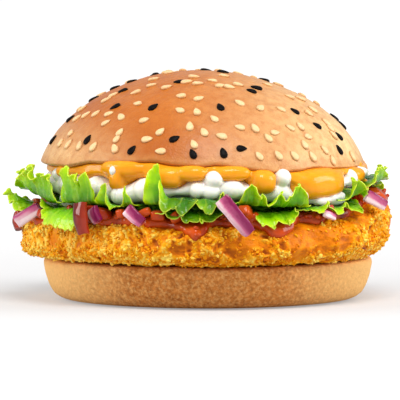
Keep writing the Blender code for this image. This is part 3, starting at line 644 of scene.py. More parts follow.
class Bench:
    """Adds and joins nodes in one node tree."""

    def __init__(self, tree: bpy.types.NodeTree) -> None:
        """Works on a tree."""
        self.tree = tree

    def add(
        self, kind: str, inputs: dict[str | int, object] | None = None, **settings: object
    ) -> bpy.types.Node:
        """Adds a node.

        Args:
            kind: Blender's name of the node's type.
            inputs: A value or another node's output for each input socket.
            settings: Values of the node's own fields.

        Returns:
            The node.
        """
        node = self.tree.nodes.new(kind)
        for setting, value in settings.items():
            setattr(node, setting, value)
        for socket, value in (inputs or {}).items():
            if isinstance(value, Socket):
                self.tree.links.new(value, node.inputs[socket])
            else:
                node.inputs[socket].default_value = value
        return node

    def ramp(
        self, factor: Socket, stops: Sequence[tuple[float, Colour]]
    ) -> Socket:
        """A colour for each value of a factor, blended between stops of (place, colour).

        Args:
            factor: The factor.
            stops: The stops.

        Returns:
            The colour's socket.
        """
        node = self.add("ShaderNodeValToRGB", {"Fac": factor})
        band = node.color_ramp
        while len(band.elements) < len(stops):
            band.elements.new(0.5)
        for element, (place, colour) in zip(band.elements, stops):
            element.position = place
            element.color = (*colour, 1.0)
        return node.outputs["Color"]

    def mix(self, factor: object, first: object, second: object) -> Socket:
        """Two colours blended by a factor.

        Args:
            factor: Share of the second.
            first: A colour or socket.
            second: A colour or socket.

        Returns:
            The blend's socket.
        """
        node = self.add("ShaderNodeMix", {"Factor": factor}, data_type="RGBA")
        for socket, value in ((node.inputs[6], first), (node.inputs[7], second)):
            if isinstance(value, Socket):
                self.tree.links.new(value, socket)
            else:
                socket.default_value = (*value, 1.0)
        return node.outputs[2]

    def math(self, kind: str, first: object, second: object = 0.0) -> Socket:
        """Result of one sum on one or two values."""
        return self.add("ShaderNodeMath", {0: first, 1: second}, operation=kind).outputs[0]

    def span(self, value: object, start: float, stop: float, top: object = 1.0, low: float = 0.0) -> Socket:
        """Runs from low to top as a value goes from start to stop, and no further."""
        limits = {"Value": value, "From Min": start, "From Max": stop, "To Min": low, "To Max": top}
        return self.add("ShaderNodeMapRange", limits).outputs[0]

    def place(self) -> Socket:
        """The object's own coordinates."""
        return self.add("ShaderNodeTexCoord").outputs["Object"]

    def mark(self, name: str) -> Socket:
        """A value that the mesh carries at each vertex."""
        return self.add("ShaderNodeAttribute", attribute_name=name).outputs["Fac"]


def new_group(
    name: str, inputs: Sequence[tuple[str, float]], output: str
) -> tuple[bpy.types.NodeTree, Bench, bpy.types.Node]:
    """An empty shader group with named number sockets.

    Args:
        name: Its name.
        inputs: Name and value of each input.
        output: Name of the output.

    Returns:
        The group, a bench on it and its input node.
    """
    group = bpy.data.node_groups.new(name, "ShaderNodeTree")
    for label, value in inputs:
        socket = group.interface.new_socket(label, in_out="INPUT", socket_type="NodeSocketFloat")
        socket.default_value = value
    group.interface.new_socket(output, in_out="OUTPUT", socket_type="NodeSocketFloat")
    bench = Bench(group)
    return group, bench, bench.add("NodeGroupInput")


def patches_group() -> bpy.types.NodeTree:
    """Shared effect: uneven patches of two sizes, as a value from 0 to 1.

    Returns:
        The group.
    """
    name = "uneven_patches"
    if name in bpy.data.node_groups:
        return bpy.data.node_groups[name]
    group, bench, given = new_group(name, [("Size", 60.0), ("Contrast", 1.0), ("Shift", 0.0)], "Value")
    place = bench.place()
    coarse = bench.add("ShaderNodeTexNoise", {"Vector": place, "Scale": given.outputs["Size"], "Detail": 3.0})
    quick = bench.math("MULTIPLY", given.outputs["Size"], 5.3)
    fine = bench.add("ShaderNodeTexNoise", {"Vector": place, "Scale": quick, "Detail": 2.0})
    broad = bench.math("MULTIPLY", coarse.outputs["Fac"], 0.7)
    both = bench.math("ADD", broad, bench.math("MULTIPLY", fine.outputs["Fac"], 0.3))
    spread = bench.math("MULTIPLY", bench.math("SUBTRACT", both, 0.5), given.outputs["Contrast"])
    shifted = bench.math("ADD", bench.math("ADD", spread, 0.5), given.outputs["Shift"])
    value = bench.add("ShaderNodeClamp", {"Value": shifted})
    bench.add("NodeGroupOutput", {"Value": value.outputs[0]})
    return group


def grain_group() -> bpy.types.NodeTree:
    """Shared effect: height of fine wrinkles and pores, for a Bump node.

    Returns:
        The group.
    """
    name = "fine_grain"
    if name in bpy.data.node_groups:
        return bpy.data.node_groups[name]
    inputs = [("Wrinkles", 500.0), ("Pores", 1500.0), ("Pore Depth", 0.3)]
    group, bench, given = new_group(name, inputs, "Height")
    place = bench.place()
    wave = {"Vector": place, "Scale": given.outputs["Wrinkles"], "Detail": 4.0}
    wrinkles = bench.add("ShaderNodeTexNoise", wave)
    pores = bench.add("ShaderNodeTexVoronoi", {"Vector": place, "Scale": given.outputs["Pores"]})
    pits = bench.math("MULTIPLY", pores.outputs["Distance"], given.outputs["Pore Depth"])
    bench.add("NodeGroupOutput", {"Height": bench.math("ADD", wrinkles.outputs["Fac"], pits)})
    return group


@dataclass(frozen=True)
class Finish:
    """A procedural finish: colours from patches and marks, with its own gloss and grain."""

    name: str
    slot: str
    roughness: float = 0.5
    coat: float = 0.0
    coat_roughness: float = 0.1
    specular: float = 0.5
    glow: float = 0.0
    glow_radius: Colour = (1.0, 0.5, 0.25)
    glow_depth: float = 0.001
    wrinkles: float = 500.0
    pores: float = 1500.0
    pore_depth: float = 0.3
    bump: float = 0.2
    bump_depth: float = 0.0004

    def colour(self, bench: Bench) -> Socket:
        """Colour over the surface, as the socket that feeds Base Color."""
        raise NotImplementedError

    def patches(self, bench: Bench, size: float, contrast: float, shift: float = 0.0) -> Socket:
        """Uneven patches from 0 to 1: how many to a metre, how far they part and what is added to all."""
        inputs = {"Size": size, "Contrast": contrast, "Shift": shift}
        return bench.add("ShaderNodeGroup", inputs, node_tree=patches_group()).outputs["Value"]

    def make(self) -> bpy.types.Material:
        """Builds the material.

        Returns:
            The material.
        """
        material = bpy.data.materials.new(self.name)
        material.use_nodes = True
        tree = material.node_tree
        shader = tree.nodes["Principled BSDF"]
        bench = Bench(tree)
        tree.links.new(self.colour(bench), shader.inputs["Base Color"])
        pattern = {"Wrinkles": self.wrinkles, "Pores": self.pores, "Pore Depth": self.pore_depth}
        grain = bench.add("ShaderNodeGroup", pattern, node_tree=grain_group())
        relief = {"Height": grain.outputs["Height"], "Strength": self.bump, "Distance": self.bump_depth}
        bump = bench.add("ShaderNodeBump", relief)
        tree.links.new(bump.outputs["Normal"], shader.inputs["Normal"])
        uneven = bench.math("MULTIPLY_ADD", self.patches(bench, 220.0, 1.6), 0.24 * self.roughness)
        uneven.node.inputs[2].default_value = 0.88 * self.roughness
        tree.links.new(uneven, shader.inputs["Roughness"])
        looks = {
            "Coat Weight": self.coat, "Coat Roughness": self.coat_roughness,
            "Specular IOR Level": self.specular, "Subsurface Weight": self.glow,
            "Subsurface Radius": self.glow_radius, "Subsurface Scale": self.glow_depth,
        }
        for socket, value in looks.items():
            shader.inputs[socket].default_value = value
        return material


@dataclass(frozen=True)
class CrownCrust(Finish):
    """Golden crust, deeper at the lower middle and left (painted shade with a browner band) and paler towards
    the right and the lower left (painted light).
    """

    deep: Colour = (0.42, 0.10, 0.008)
    golden: Colour = (0.60, 0.185, 0.022)
    pale: Colour = (0.92, 0.65, 0.31)
    under: Colour = (0.58, 0.26, 0.07)

    def colour(self, bench: Bench) -> Socket:
        """Patches of the deep and golden tones, made pale on the right and low on the left by painted light,
        and deeper between by painted shade with a browner band.

        Args:
            bench: The tree's bench.

        Returns:
            The colour's socket.
        """
        blotch = bench.mix(self.patches(bench, 34.0, 2.4, 0.1), self.deep, self.golden)
        parts = bench.add("ShaderNodeSeparateXYZ", {0: bench.place()}).outputs
        # Painted light: paler towards the right, where the light falls strongest, and at the lower left.
        right = bench.span(parts["X"], -0.012, 0.042)
        east = bench.math("MULTIPLY", right, self.patches(bench, 20.0, 1.5, 0.25))
        left, lower = bench.span(parts["X"], -0.018, -0.042), bench.span(parts["Z"], 0.058, 0.046)
        lit_low_left = bench.math("MULTIPLY", bench.math("MULTIPLY", left, lower), 0.6)
        share = bench.math("MAXIMUM", east, lit_low_left)
        # Painted shade, together with a browner band of crust: deeper low down in the middle and towards the
        # left.
        lower_band, inward = bench.span(parts["Z"], 0.064, 0.050), bench.span(parts["X"], 0.03, 0.005)
        lower_shade_and_brown = bench.math("MULTIPLY", bench.math("MULTIPLY", lower_band, inward), 0.7)
        warm = bench.mix(lower_shade_and_brown, blotch, self.deep)
        painted_side_light = bench.mix(share, warm, self.pale)
        ringed = bench.mix(bench.span(bench.mark("rim"), 0.55, 1.0, 0.6), painted_side_light, self.under)
        mottle = bench.math("MULTIPLY", self.patches(bench, 420.0, 3.2, -0.25), 0.6)
        mottled = bench.mix(mottle, ringed, self.deep)
        freckles = self.patches(bench, 700.0, 3.0, -0.9)
        return bench.mix(freckles, mottled, self.deep)


@dataclass(frozen=True)
class HeelCrust(Finish):
    """Matte tan crust with fine lighter and darker speckles."""

    brown: Colour = (0.24, 0.058, 0.006)
    tan: Colour = (0.60, 0.22, 0.047)
    cream: Colour = (0.98, 0.60, 0.22)

    def colour(self, bench: Bench) -> Socket:
        """Speckles of tan and brown with a few cream flecks, creamier at both sides as painted light, so that
        the middle stays darker as painted shade under the patty.

        Args:
            bench: The tree's bench.

        Returns:
            The colour's socket.
        """
        speckle = bench.mix(self.patches(bench, 780.0, 4.0), self.brown, self.tan)
        worn = bench.math("MULTIPLY", self.patches(bench, 60.0, 2.0), 0.55)
        broad = bench.mix(worn, speckle, self.tan)
        # Painted light: creamier towards both sides, where the side lamps fall; the darker middle is painted
        # shade under the patty.
        parts = bench.add("ShaderNodeSeparateXYZ", {0: bench.place()}).outputs
        aside = bench.math("ABSOLUTE", parts["X"])
        painted_side_light = bench.mix(bench.span(aside, 0.022, 0.050, 0.85), broad, self.cream)
        flecks = bench.math("MULTIPLY", self.patches(bench, 1000.0, 4.2, -0.35), 0.5)
        return bench.mix(flecks, painted_side_light, self.cream)


@dataclass(frozen=True)
class Breading(Finish):
    """Fried crumb: painted shade darkens its pits and painted highlight turns its crests golden."""

    pit_shade: Colour = (0.22, 0.032, 0.001)
    orange: Colour = (0.76, 0.20, 0.001)
    gold: Colour = (0.98, 0.43, 0.003)
    straw_highlight: Colour = (1.0, 0.72, 0.12)

    def colour(self, bench: Bench) -> Socket:
        """Colour by the height of the crumb, as painted shade in the pits and painted highlight on the
        crests, and by a drawn tone of its own.

        Args:
            bench: The tree's bench.

        Returns:
            The colour's socket.
        """
        # Painted shade in the pits, painted highlight on the crests.
        crest = bench.ramp(
            bench.mark("crest"), [(0.0, self.pit_shade), (0.3, self.orange), (0.68, self.gold), (1.0, self.straw_highlight)]
        )
        warm = bench.mix(self.patches(bench, 70.0, 2.4), crest, self.orange)
        share = bench.math("MULTIPLY", self.patches(bench, 45.0, 2.6, -0.1), 0.5)
        return bench.mix(share, crest, warm)


@dataclass(frozen=True)
class SmoothSauce(Finish):
    """A creamy sauce of one hue with soft, slightly deeper streaks."""

    light: Colour = (0.9, 0.9, 0.9)
    deep: Colour = (0.8, 0.8, 0.8)

    def colour(self, bench: Bench) -> Socket:
        """Soft streaks between the two tones."""
        return bench.mix(self.patches(bench, 90.0, 2.0), self.deep, self.light)


@dataclass(frozen=True)
class SalsaFinish(Finish):
    """Wet salsa: dark and clear where thin, orange-red with pulp where thick."""

    dark: Colour = (0.14, 0.006, 0.001)
    red: Colour = (0.52, 0.030, 0.003)
    pulp: Colour = (0.74, 0.105, 0.008)

    def colour(self, bench: Bench) -> Socket:
        """Pulp lumps over a red that darkens towards the stack."""
        body = bench.mix(self.patches(bench, 110.0, 2.6), self.dark, self.red)
        return bench.mix(bench.math("MULTIPLY", bench.mark("pulp"), 0.9), body, self.pulp)


@dataclass(frozen=True)
class LeafFinish(Finish):
    """Lettuce: deep green inside, where painted shade falls between the layers, bright yellow-green towards
    its margin, partly painted light, with pale veins.
    """

    deep: Colour = (0.02, 0.11, 0.001)
    green: Colour = (0.15, 0.45, 0.001)
    fresh: Colour = (0.38, 0.72, 0.002)
    bright: Colour = (0.56, 0.86, 0.003)
    vein: Colour = (0.70, 0.86, 0.07)
    shade: Colour = (0.012, 0.12, 0.002)

    def colour(self, bench: Bench) -> Socket:
        """Colour by the distance from the margin, broken by patches and veins, with painted shade deep inside
        and where the dark mark lies, and a pale margin that is partly painted light.

        Args:
            bench: The tree's bench.

        Returns:
            The colour's socket.
        """
        blotch = bench.math("MULTIPLY", self.patches(bench, 170.0, 2.4, -0.5), 0.4)
        edge = bench.math("ADD", bench.mark("margin"), blotch)
        # Painted shade: the deep end lies where the leaves run in between the layers.
        stops = [(0.05, self.deep), (0.5, self.green), (0.82, self.fresh), (1.0, self.bright)]
        body = bench.ramp(edge, stops)
        # Painted shade where the dark mark is high.
        dark = bench.mix(bench.math("MULTIPLY", bench.mark("dark"), 0.85), body, self.shade)
        veined = bench.mix(bench.math("MULTIPLY", bench.mark("vein"), 0.3), dark, self.vein)
        # Pale line along the margin: partly the leaf's own edge, partly a painted highlight.
        rim = bench.span(bench.mark("margin"), 0.95, 1.0)
        return bench.mix(bench.math("MULTIPLY", rim, 0.7), veined, self.vein)


@dataclass(frozen=True)
class OnionFinish(Finish):
    """Red onion: a purple skin that fades into pink and white flesh."""

    skin: Colour = (0.25, 0.008, 0.085)
    pink: Colour = (0.60, 0.13, 0.27)
    flesh: Colour = (0.84, 0.64, 0.66)

    def colour(self, bench: Bench) -> Socket:
        """Colour by the depth under the skin.

        Args:
            bench: The tree's bench.

        Returns:
            The colour's socket.
        """
        blotch = bench.math("MULTIPLY", self.patches(bench, 260.0, 1.8, -0.5), 0.3)
        depth = bench.math("ADD", bench.mark("skin"), blotch)
        stops = [(0.0, self.flesh), (0.36, self.flesh), (0.62, self.pink), (0.98, self.skin)]
        return bench.ramp(depth, stops)


@dataclass(frozen=True)
class SeedFinish(Finish):
    """A sesame seed's hull, a little deeper at its tip and, as painted shade, round its outline."""

    hull: Colour = (0.90, 0.64, 0.34)
    tip: Colour = (0.50, 0.21, 0.055)

    def colour(self, bench: Bench) -> Socket:
        """Hull tone that turns to the tip tone by the seed's own mark, which covers its tip and a painted
        shaded outline.
        """
        blotch = bench.math("MULTIPLY", self.patches(bench, 420.0, 2.0), 0.35)
        return bench.mix(bench.math("ADD", bench.mark("tip"), blotch), self.hull, self.tip)


@dataclass(frozen=True)
class FloorFinish(Finish):
    """White table, faintly uneven."""

    white: Colour = (0.45, 0.45, 0.46)
    shade: Colour = (0.44, 0.44, 0.45)

    def colour(self, bench: Bench) -> Socket:
        """Nearly one white."""
        return bench.mix(self.patches(bench, 3.0, 1.0), self.white, self.shade)


CREAM_GLOW = (1.0, 0.8, 0.6)
CROWN_FINISH = CrownCrust(
    "crown_crust_finish", "crown_crust", 0.42, 0.2, 0.3, specular=0.25, glow=0.03, wrinkles=700.0, bump=0.7,
)
HEEL_FINISH = HeelCrust(
    "heel_crust_finish", "heel_crust", 0.8, specular=0.1, wrinkles=900.0, bump=0.8, pores=1100.0,
)
BREADING_FINISH = Breading(
    "breading_finish", "breading", 0.4, specular=0.12, glow=0.08, bump=0.45, wrinkles=1300.0,
)
MAYO_FINISH = SmoothSauce(
    "mayonnaise_finish", "mayonnaise", 0.2, 0.3, 0.08, specular=0.35, glow=0.35, glow_radius=CREAM_GLOW,
    glow_depth=0.003, bump=0.05, light=(0.96, 0.94, 0.89), deep=(0.93, 0.90, 0.83),
)
CHEESE_FINISH = SmoothSauce(
    "cheese_sauce_finish", "cheese_sauce", 0.2, 0.22, 0.08, specular=0.2, glow=0.2, glow_depth=0.0015,
    bump=0.05, light=(0.97, 0.42, 0.018), deep=(0.86, 0.27, 0.001),
)
SALSA_FINISH = SalsaFinish(
    "salsa_finish", "salsa", 0.12, 0.22, 0.05, specular=0.2, glow=0.04, bump=0.3, wrinkles=800.0,
)
LEAF_FINISH = LeafFinish(
    "lettuce_finish", "lettuce", 0.26, 0.25, 0.12, specular=0.22, glow=0.25, glow_radius=(0.5, 1.0, 0.1),
    glow_depth=0.0012, wrinkles=420.0, bump=0.3,
)
ONION_FINISH = OnionFinish(
    "onion_finish", "onion", 0.22, 0.3, 0.08, specular=0.3, glow=0.3, glow_radius=(1.0, 0.6, 0.6), bump=0.1,
)
TOMATO_FINISH = SalsaFinish(
    "tomato_finish", "tomato", 0.1, 0.5, 0.04, specular=0.25, glow=0.04, bump=0.1,
    dark=(0.07, 0.002, 0.001), red=(0.22, 0.008, 0.002), pulp=(0.5, 0.04, 0.008),
)
PALE_SEED_FINISH = SeedFinish(
    "pale_seed_finish", "crown_crust", 0.4, 0.1, 0.2, specular=0.3, glow=0.15, bump=0.15, wrinkles=1500.0,
)
BLACK_SEED_FINISH = SeedFinish(
    "black_seed_finish", "crown_crust", 0.4, specular=0.05, bump=0.25, wrinkles=1500.0,
    hull=(0.004, 0.0035, 0.004), tip=(0.012, 0.008, 0.007),
)
FLOOR_FINISH = FloorFinish("table_finish", "", 0.8, specular=0.1, bump=0.0)


def dress(item: Piece, finish: Finish, nodes: Sequence[str] = ()) -> Piece:
    """Gives a piece its finish, its body and the nodes that it stands for.

    Args:
        item: The piece.
        finish: Its finish.
        nodes: Names of the solids that it replaces.

    Returns:
        The piece.
    """
    material = bpy.data.materials.get(finish.name) or finish.make()
    item.data.materials.clear()
    item.data.materials.append(material)
    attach(item, "root")
    if nodes:
        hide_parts(*nodes)
    LOG.info("%s: %d faces", item.name, len(item.data.polygons))
    return item


# ---- bread ----


@dataclass
class Crown:
    """The top bun and its two kinds of seed.

    A row of pale_rows or black_rows is where a seed shows from the front, in steps to the right of and below
    a mark, and which way its tip points there.
    """

    stack: Stack
    columns: int = 520
    dome_rows: int = 170
    seed_count: int = 96
    extra_seeds: int = 46
    seed_spread: float = 46.8
    seed_back: float = 5.0
    seed_size: tuple[float, float, float] = (3.6, 2.2, 1.35)
    seed_taper: float = 0.38
    seed_lift: float = 0.12
    black_share: float = 0.24
    seed_room: float = 3.9
    lip_bulge: float = 0.25
    lip_tuck: float = 1.6
    rim_band: float = 7.0
    view_tilt: float = 4.0
    view_step: float = 0.302
    view_middle: float = 207.0
    view_floor: float = 298.0
    pale_rows: Rows = (
        (154, 80, 0), (152, 86, 0), (167, 88, 70), (136, 93, 150), (138, 105, 130), (187, 83, 20),
        (194, 78, 30), (198, 85, 0), (212, 82, 170), (220, 87, 60), (224, 77, 0), (229, 88, 0),
        (238, 86, 30), (181, 97, 130), (199, 100, 45), (180, 111, 130), (197, 113, 100), (214, 120, 120),
        (190, 127, 95), (204, 133, 110), (221, 137, 160), (239, 128, 160), (254, 129, 100), (260, 109, 60),
        (239, 104, 120), (280, 110, 160), (267, 138, 110), (274, 133, 20), (258, 157, 120), (277, 156, 120),
        (293, 156, 130), (311, 157, 110), (323, 150, 150), (331, 162, 85), (303, 145, 100), (307, 137, 20),
        (289, 128, 150), (299, 127, 95), (289, 98, 160), (300, 100, 140), (308, 114, 10), (312, 110, 140),
        (325, 123, 130), (329, 128, 100), (332, 135, 110), (351, 156, 150), (161, 152, 170), (161, 132, 60),
        (148, 140, 0), (145, 121, 15), (121, 134, 80), (118, 140, 80), (116, 150, 120), (95, 157, 75),
        (81, 158, 120), (70, 150, 60), (62, 143, 120), (72, 133, 130), (107, 124, 15), (110, 115, 0),
        (122, 118, 120), (97, 114, 80), (87, 115, 30), (107, 100, 40), (114, 95, 20), (83, 109, 50),
        (78, 118, 70), (194, 145, 110), (267, 86, 130), (170, 73, 0), (238, 74, 0),
    )
    black_rows: Rows = (
        (206, 70, 0), (223, 73, 0), (179, 83, 170), (132, 81, 20), (115, 87, 20), (123, 91, 160),
        (94, 98, 30), (116, 108, 175), (154, 108, 70), (220, 108, 95), (264, 80, 150), (256, 89, 150),
        (251, 92, 150), (294, 112, 130), (316, 126, 175), (334, 115, 130), (342, 123, 130), (338, 136, 120),
        (338, 150, 120), (241, 149, 10), (223, 154, 100), (193, 159, 110), (175, 139, 30), (133, 152, 60),
        (89, 140, 90), (54, 156, 10), (71, 119, 45),
    )

    def skin(self, radius: Array, angle: Array) -> Array:
        """Height of the crust: the dome plus slow swells of a fifth of a millimetre.

        Args:
            radius: Radii from its axis.
            angle: Angles round the burger.

        Returns:
            Heights.
        """
        height = self.stack.crown_surface(radius, angle)
        points = spots(radius, height, angle)
        fine = 0.09 * soft_noise(points, 1.5, 7) - 0.08 * ridges(points, 2.3, 8)
        return height + 0.22 * soft_noise(points, 13.0, 5) + 0.1 * soft_noise(points, 5.0, 6) + fine

    def skin_at(self, east: Array, north: Array) -> Array:
        """Height of the crust over a place."""
        return self.skin(np.hypot(east, north), np.degrees(np.arctan2(east, -north)))

    def bread(self) -> Piece:
        """Dome, rounded rim and underside, from the top pole down to the underside's pole.

        Returns:
            The piece.
        """
        stack = self.stack
        angle = ring(self.columns)
        edge = stack.crown_edge(angle)[None, :]
        share = np.sin(np.linspace(0.02, np.pi / 2, self.dome_rows))[:, None] ** 0.9
        dome_radius = share * edge
        dome_height = self.skin(dome_radius, angle[None, :])
        turn = np.linspace(0, 1, 12)[1:, None] * np.pi / 2
        rim_height = around(angle, stack.crown_rows)[None, :]
        drop = dome_height[-1:] - rim_height
        lip_radius = edge + self.lip_bulge * np.sin(2 * turn) - self.lip_tuck * (1 - np.cos(turn))
        lip_height = rim_height + drop * (1 - np.sin(turn))
        under_radius = np.linspace(1.0, 0.05, 8)[1:, None] * lip_radius[-1:]
        under_height = stack.crown_base(np.minimum(under_radius, stack.soft_rim), angle[None, :])
        radius = np.concatenate([dome_radius, lip_radius, under_radius])
        height = np.concatenate([dome_height, lip_height, under_height])
        low = 1 - eased((height - rim_height) / self.rim_band)
        item = shell("crown_crust", polar_grid(radius, height, angle), {"rim": low})
        return dress(item, CROWN_FINISH, ["crown"])

    def shown_at(self, across: float, down: float) -> tuple[float, float]:
        """Place on the front of the dome that shows at a point of the front view.

        A point's apparent height is its height times the cosine of the view's tilt plus its northing times
        the sine. The northing of the front whose apparent height comes nearest is taken.

        Args:
            across: Steps to the right of the front view's mark.
            down: Steps below it.

        Returns:
            East and north.
        """
        east = (across - self.view_middle) * self.view_step
        shown = (self.view_floor - down) * self.view_step
        tilt = math.radians(self.view_tilt)
        north = np.linspace(-math.sqrt(max(self.seed_spread**2 - east**2, 0.0)), 12.0, 400)
        height = self.stack.crown_surface(np.hypot(east, north), np.degrees(np.arctan2(east, -north)))
        seen = height * math.cos(tilt) + north * math.sin(tilt)
        return east, float(north[np.argmin(np.abs(seen - shown))])

    def seed_places(self) -> tuple[Array, Array]:
        """East, north, heading and size of every seed, and which are black.

        The seeds of the front lie where they show. Those of the back follow a spiral with small draws, and
        further pale ones fill the widest gaps there.

        Returns:
            Rows of east, north, tip's heading (three numbers) and size; and which are black.
        """
        draw = np.random.default_rng(42)
        rows, black = [], []
        for across, down, tip in self.pale_rows + self.black_rows:
            heading = (math.cos(math.radians(tip)), 0.0, math.sin(math.radians(tip)))
            black.append(len(rows) >= len(self.pale_rows))
            rows.append((*self.shown_at(across, down), *heading, draw.uniform(0.92, 1.08)))
        golden = 180.0 * (3.0 - math.sqrt(5.0))
        more = np.random.default_rng(77)
        for number in range(self.seed_count):
            x, y = plan(self.seed_spread * math.sqrt((number + 0.6) / self.seed_count), number * golden)
            x, y = x + draw.uniform(-1.3, 1.3), y + draw.uniform(-1.3, 1.3)
            turn, share = draw.uniform(0, 2 * math.pi), draw.uniform(0.9, 1.1)
            if y > self.seed_back and math.hypot(x, y) < self.seed_spread:
                rows.append((x, y, math.cos(turn), math.sin(turn), 0.0, share))
                black.append(more.uniform() < self.black_share)
        full = len(rows) + self.extra_seeds
        while len(rows) < full:
            x, y = plan(self.seed_spread * math.sqrt(more.uniform()), more.uniform(0, 360))
            near = np.hypot(*(np.array([row[:2] for row in rows]) - (x, y)).T).min()
            if y > self.seed_back and near > self.seed_room * (1 - 0.35 * more.uniform()):
                turn = more.uniform(0, 2 * math.pi)
                rows.append((x, y, math.cos(turn), math.sin(turn), 0.0, more.uniform(0.85, 1.05)))
                black.append(more.uniform() < self.black_share)
        return np.array(rows), np.array(black)

    def seeds(self) -> None:
        """Flat teardrops on the crust, three fifths proud, one mesh for each kind."""
        rows, black = self.seed_places()
        x, y, sizes = rows[:, 0], rows[:, 1], rows[:, 5]
        step = 0.2
        z = self.skin_at(x, y)
        rise = [z - self.skin_at(x + step, y), z - self.skin_at(x, y + step), np.full_like(z, step)]
        normals = unit(np.stack(rise, axis=-1))
        tip = unit(rows[:, 2:5] - normals * np.sum(rows[:, 2:5] * normals, axis=1, keepdims=True))
        frames = np.stack([tip, np.cross(normals, tip), normals], axis=-1) * sizes[:, None, None]
        form, faces = ball(16, 10)
        flat = np.hypot(form[:, 0], form[:, 1])
        slim = 1 - self.seed_taper * form[:, 0] - 0.12 * form[:, 0] ** 2
        form = form * np.stack([np.ones_like(slim), slim, slim * (1 - 0.25 * (1 - flat))], axis=-1)
        form = form * 0.5 * np.array(self.seed_size)
        form[:, 2] += self.seed_lift * self.seed_size[2]
        # Painted shade: the tip tone round each seed's edge, a darker outline on the pale seeds.
        rim = np.clip((flat - 0.76) * 2.0, 0, 1)
        rim = rim + np.clip((form[:, 0] / self.seed_size[0] - 0.36) * 3.0, 0, 1)
        tip_and_outline_shade = np.broadcast_to(rim, (len(rows), len(form)))
        for kind, chosen, finish in (
            (SeedKind.PALE, ~black, PALE_SEED_FINISH),
            (SeedKind.BLACK, black, BLACK_SEED_FINISH),
        ):
            places = np.column_stack([x, y, z])[chosen]
            marks = {"tip": tip_and_outline_shade[chosen]}
            item = copies(f"seeds_{kind.value}", form, faces, frames[chosen], places, marks)
            dress(item, finish, ["crown"])

    def build(self) -> None:
        """Makes the bread and its seeds."""
        self.bread()
        self.seeds()


@dataclass
class Heel:
    """The bottom bun."""

    stack: Stack
    radius: float = 49.8
    foot_radius: float = 42.0
    columns: int = 320

    def build(self) -> Piece:
        """A turned profile, softened by cutting its corners four times, with a slight grain in its relief.

        Returns:
            The piece.
        """
        top, rim = self.stack.heel_height, self.radius
        line = np.array(
            [
                (40.0, top), (rim - 1.5, top), (rim, top - 1.2), (rim - 0.7, 8.0), (rim - 2.1, 3.6),
                (rim - 4.2, 1.1), (self.foot_radius, 0.0), (30.0, 0.0),
            ]
        )
        for _ in range(4):
            ahead, behind = line[1:], line[:-1]
            cuts = np.stack([0.75 * behind + 0.25 * ahead, 0.25 * behind + 0.75 * ahead], axis=1)
            line = np.concatenate([line[:1], cuts.reshape(-1, 2), line[-1:]])
        angle = ring(self.columns)
        swell = 1 + ripple(angle, [(2, 0.004, 0.4), (3, 0.006, 2.0), (5, 0.004, 0.9)])
        radius = line[:, :1] * swell[None, :]
        height = line[:, 1:] + 0 * radius
        points = polar_grid(radius, height, angle)
        side = eased((height - 0.3) / 2.0) * eased((radius - 44.0) / 3.0)
        dent = 0.16 * soft_noise(points, 6.0, 31) + 0.1 * soft_noise(points, 1.8, 32)
        points = points + grid_normals(points) * (dent * side)[..., None]
        return dress(shell("heel_crust", points), HEEL_FINISH, ["heel"])


# ---- chicken ----


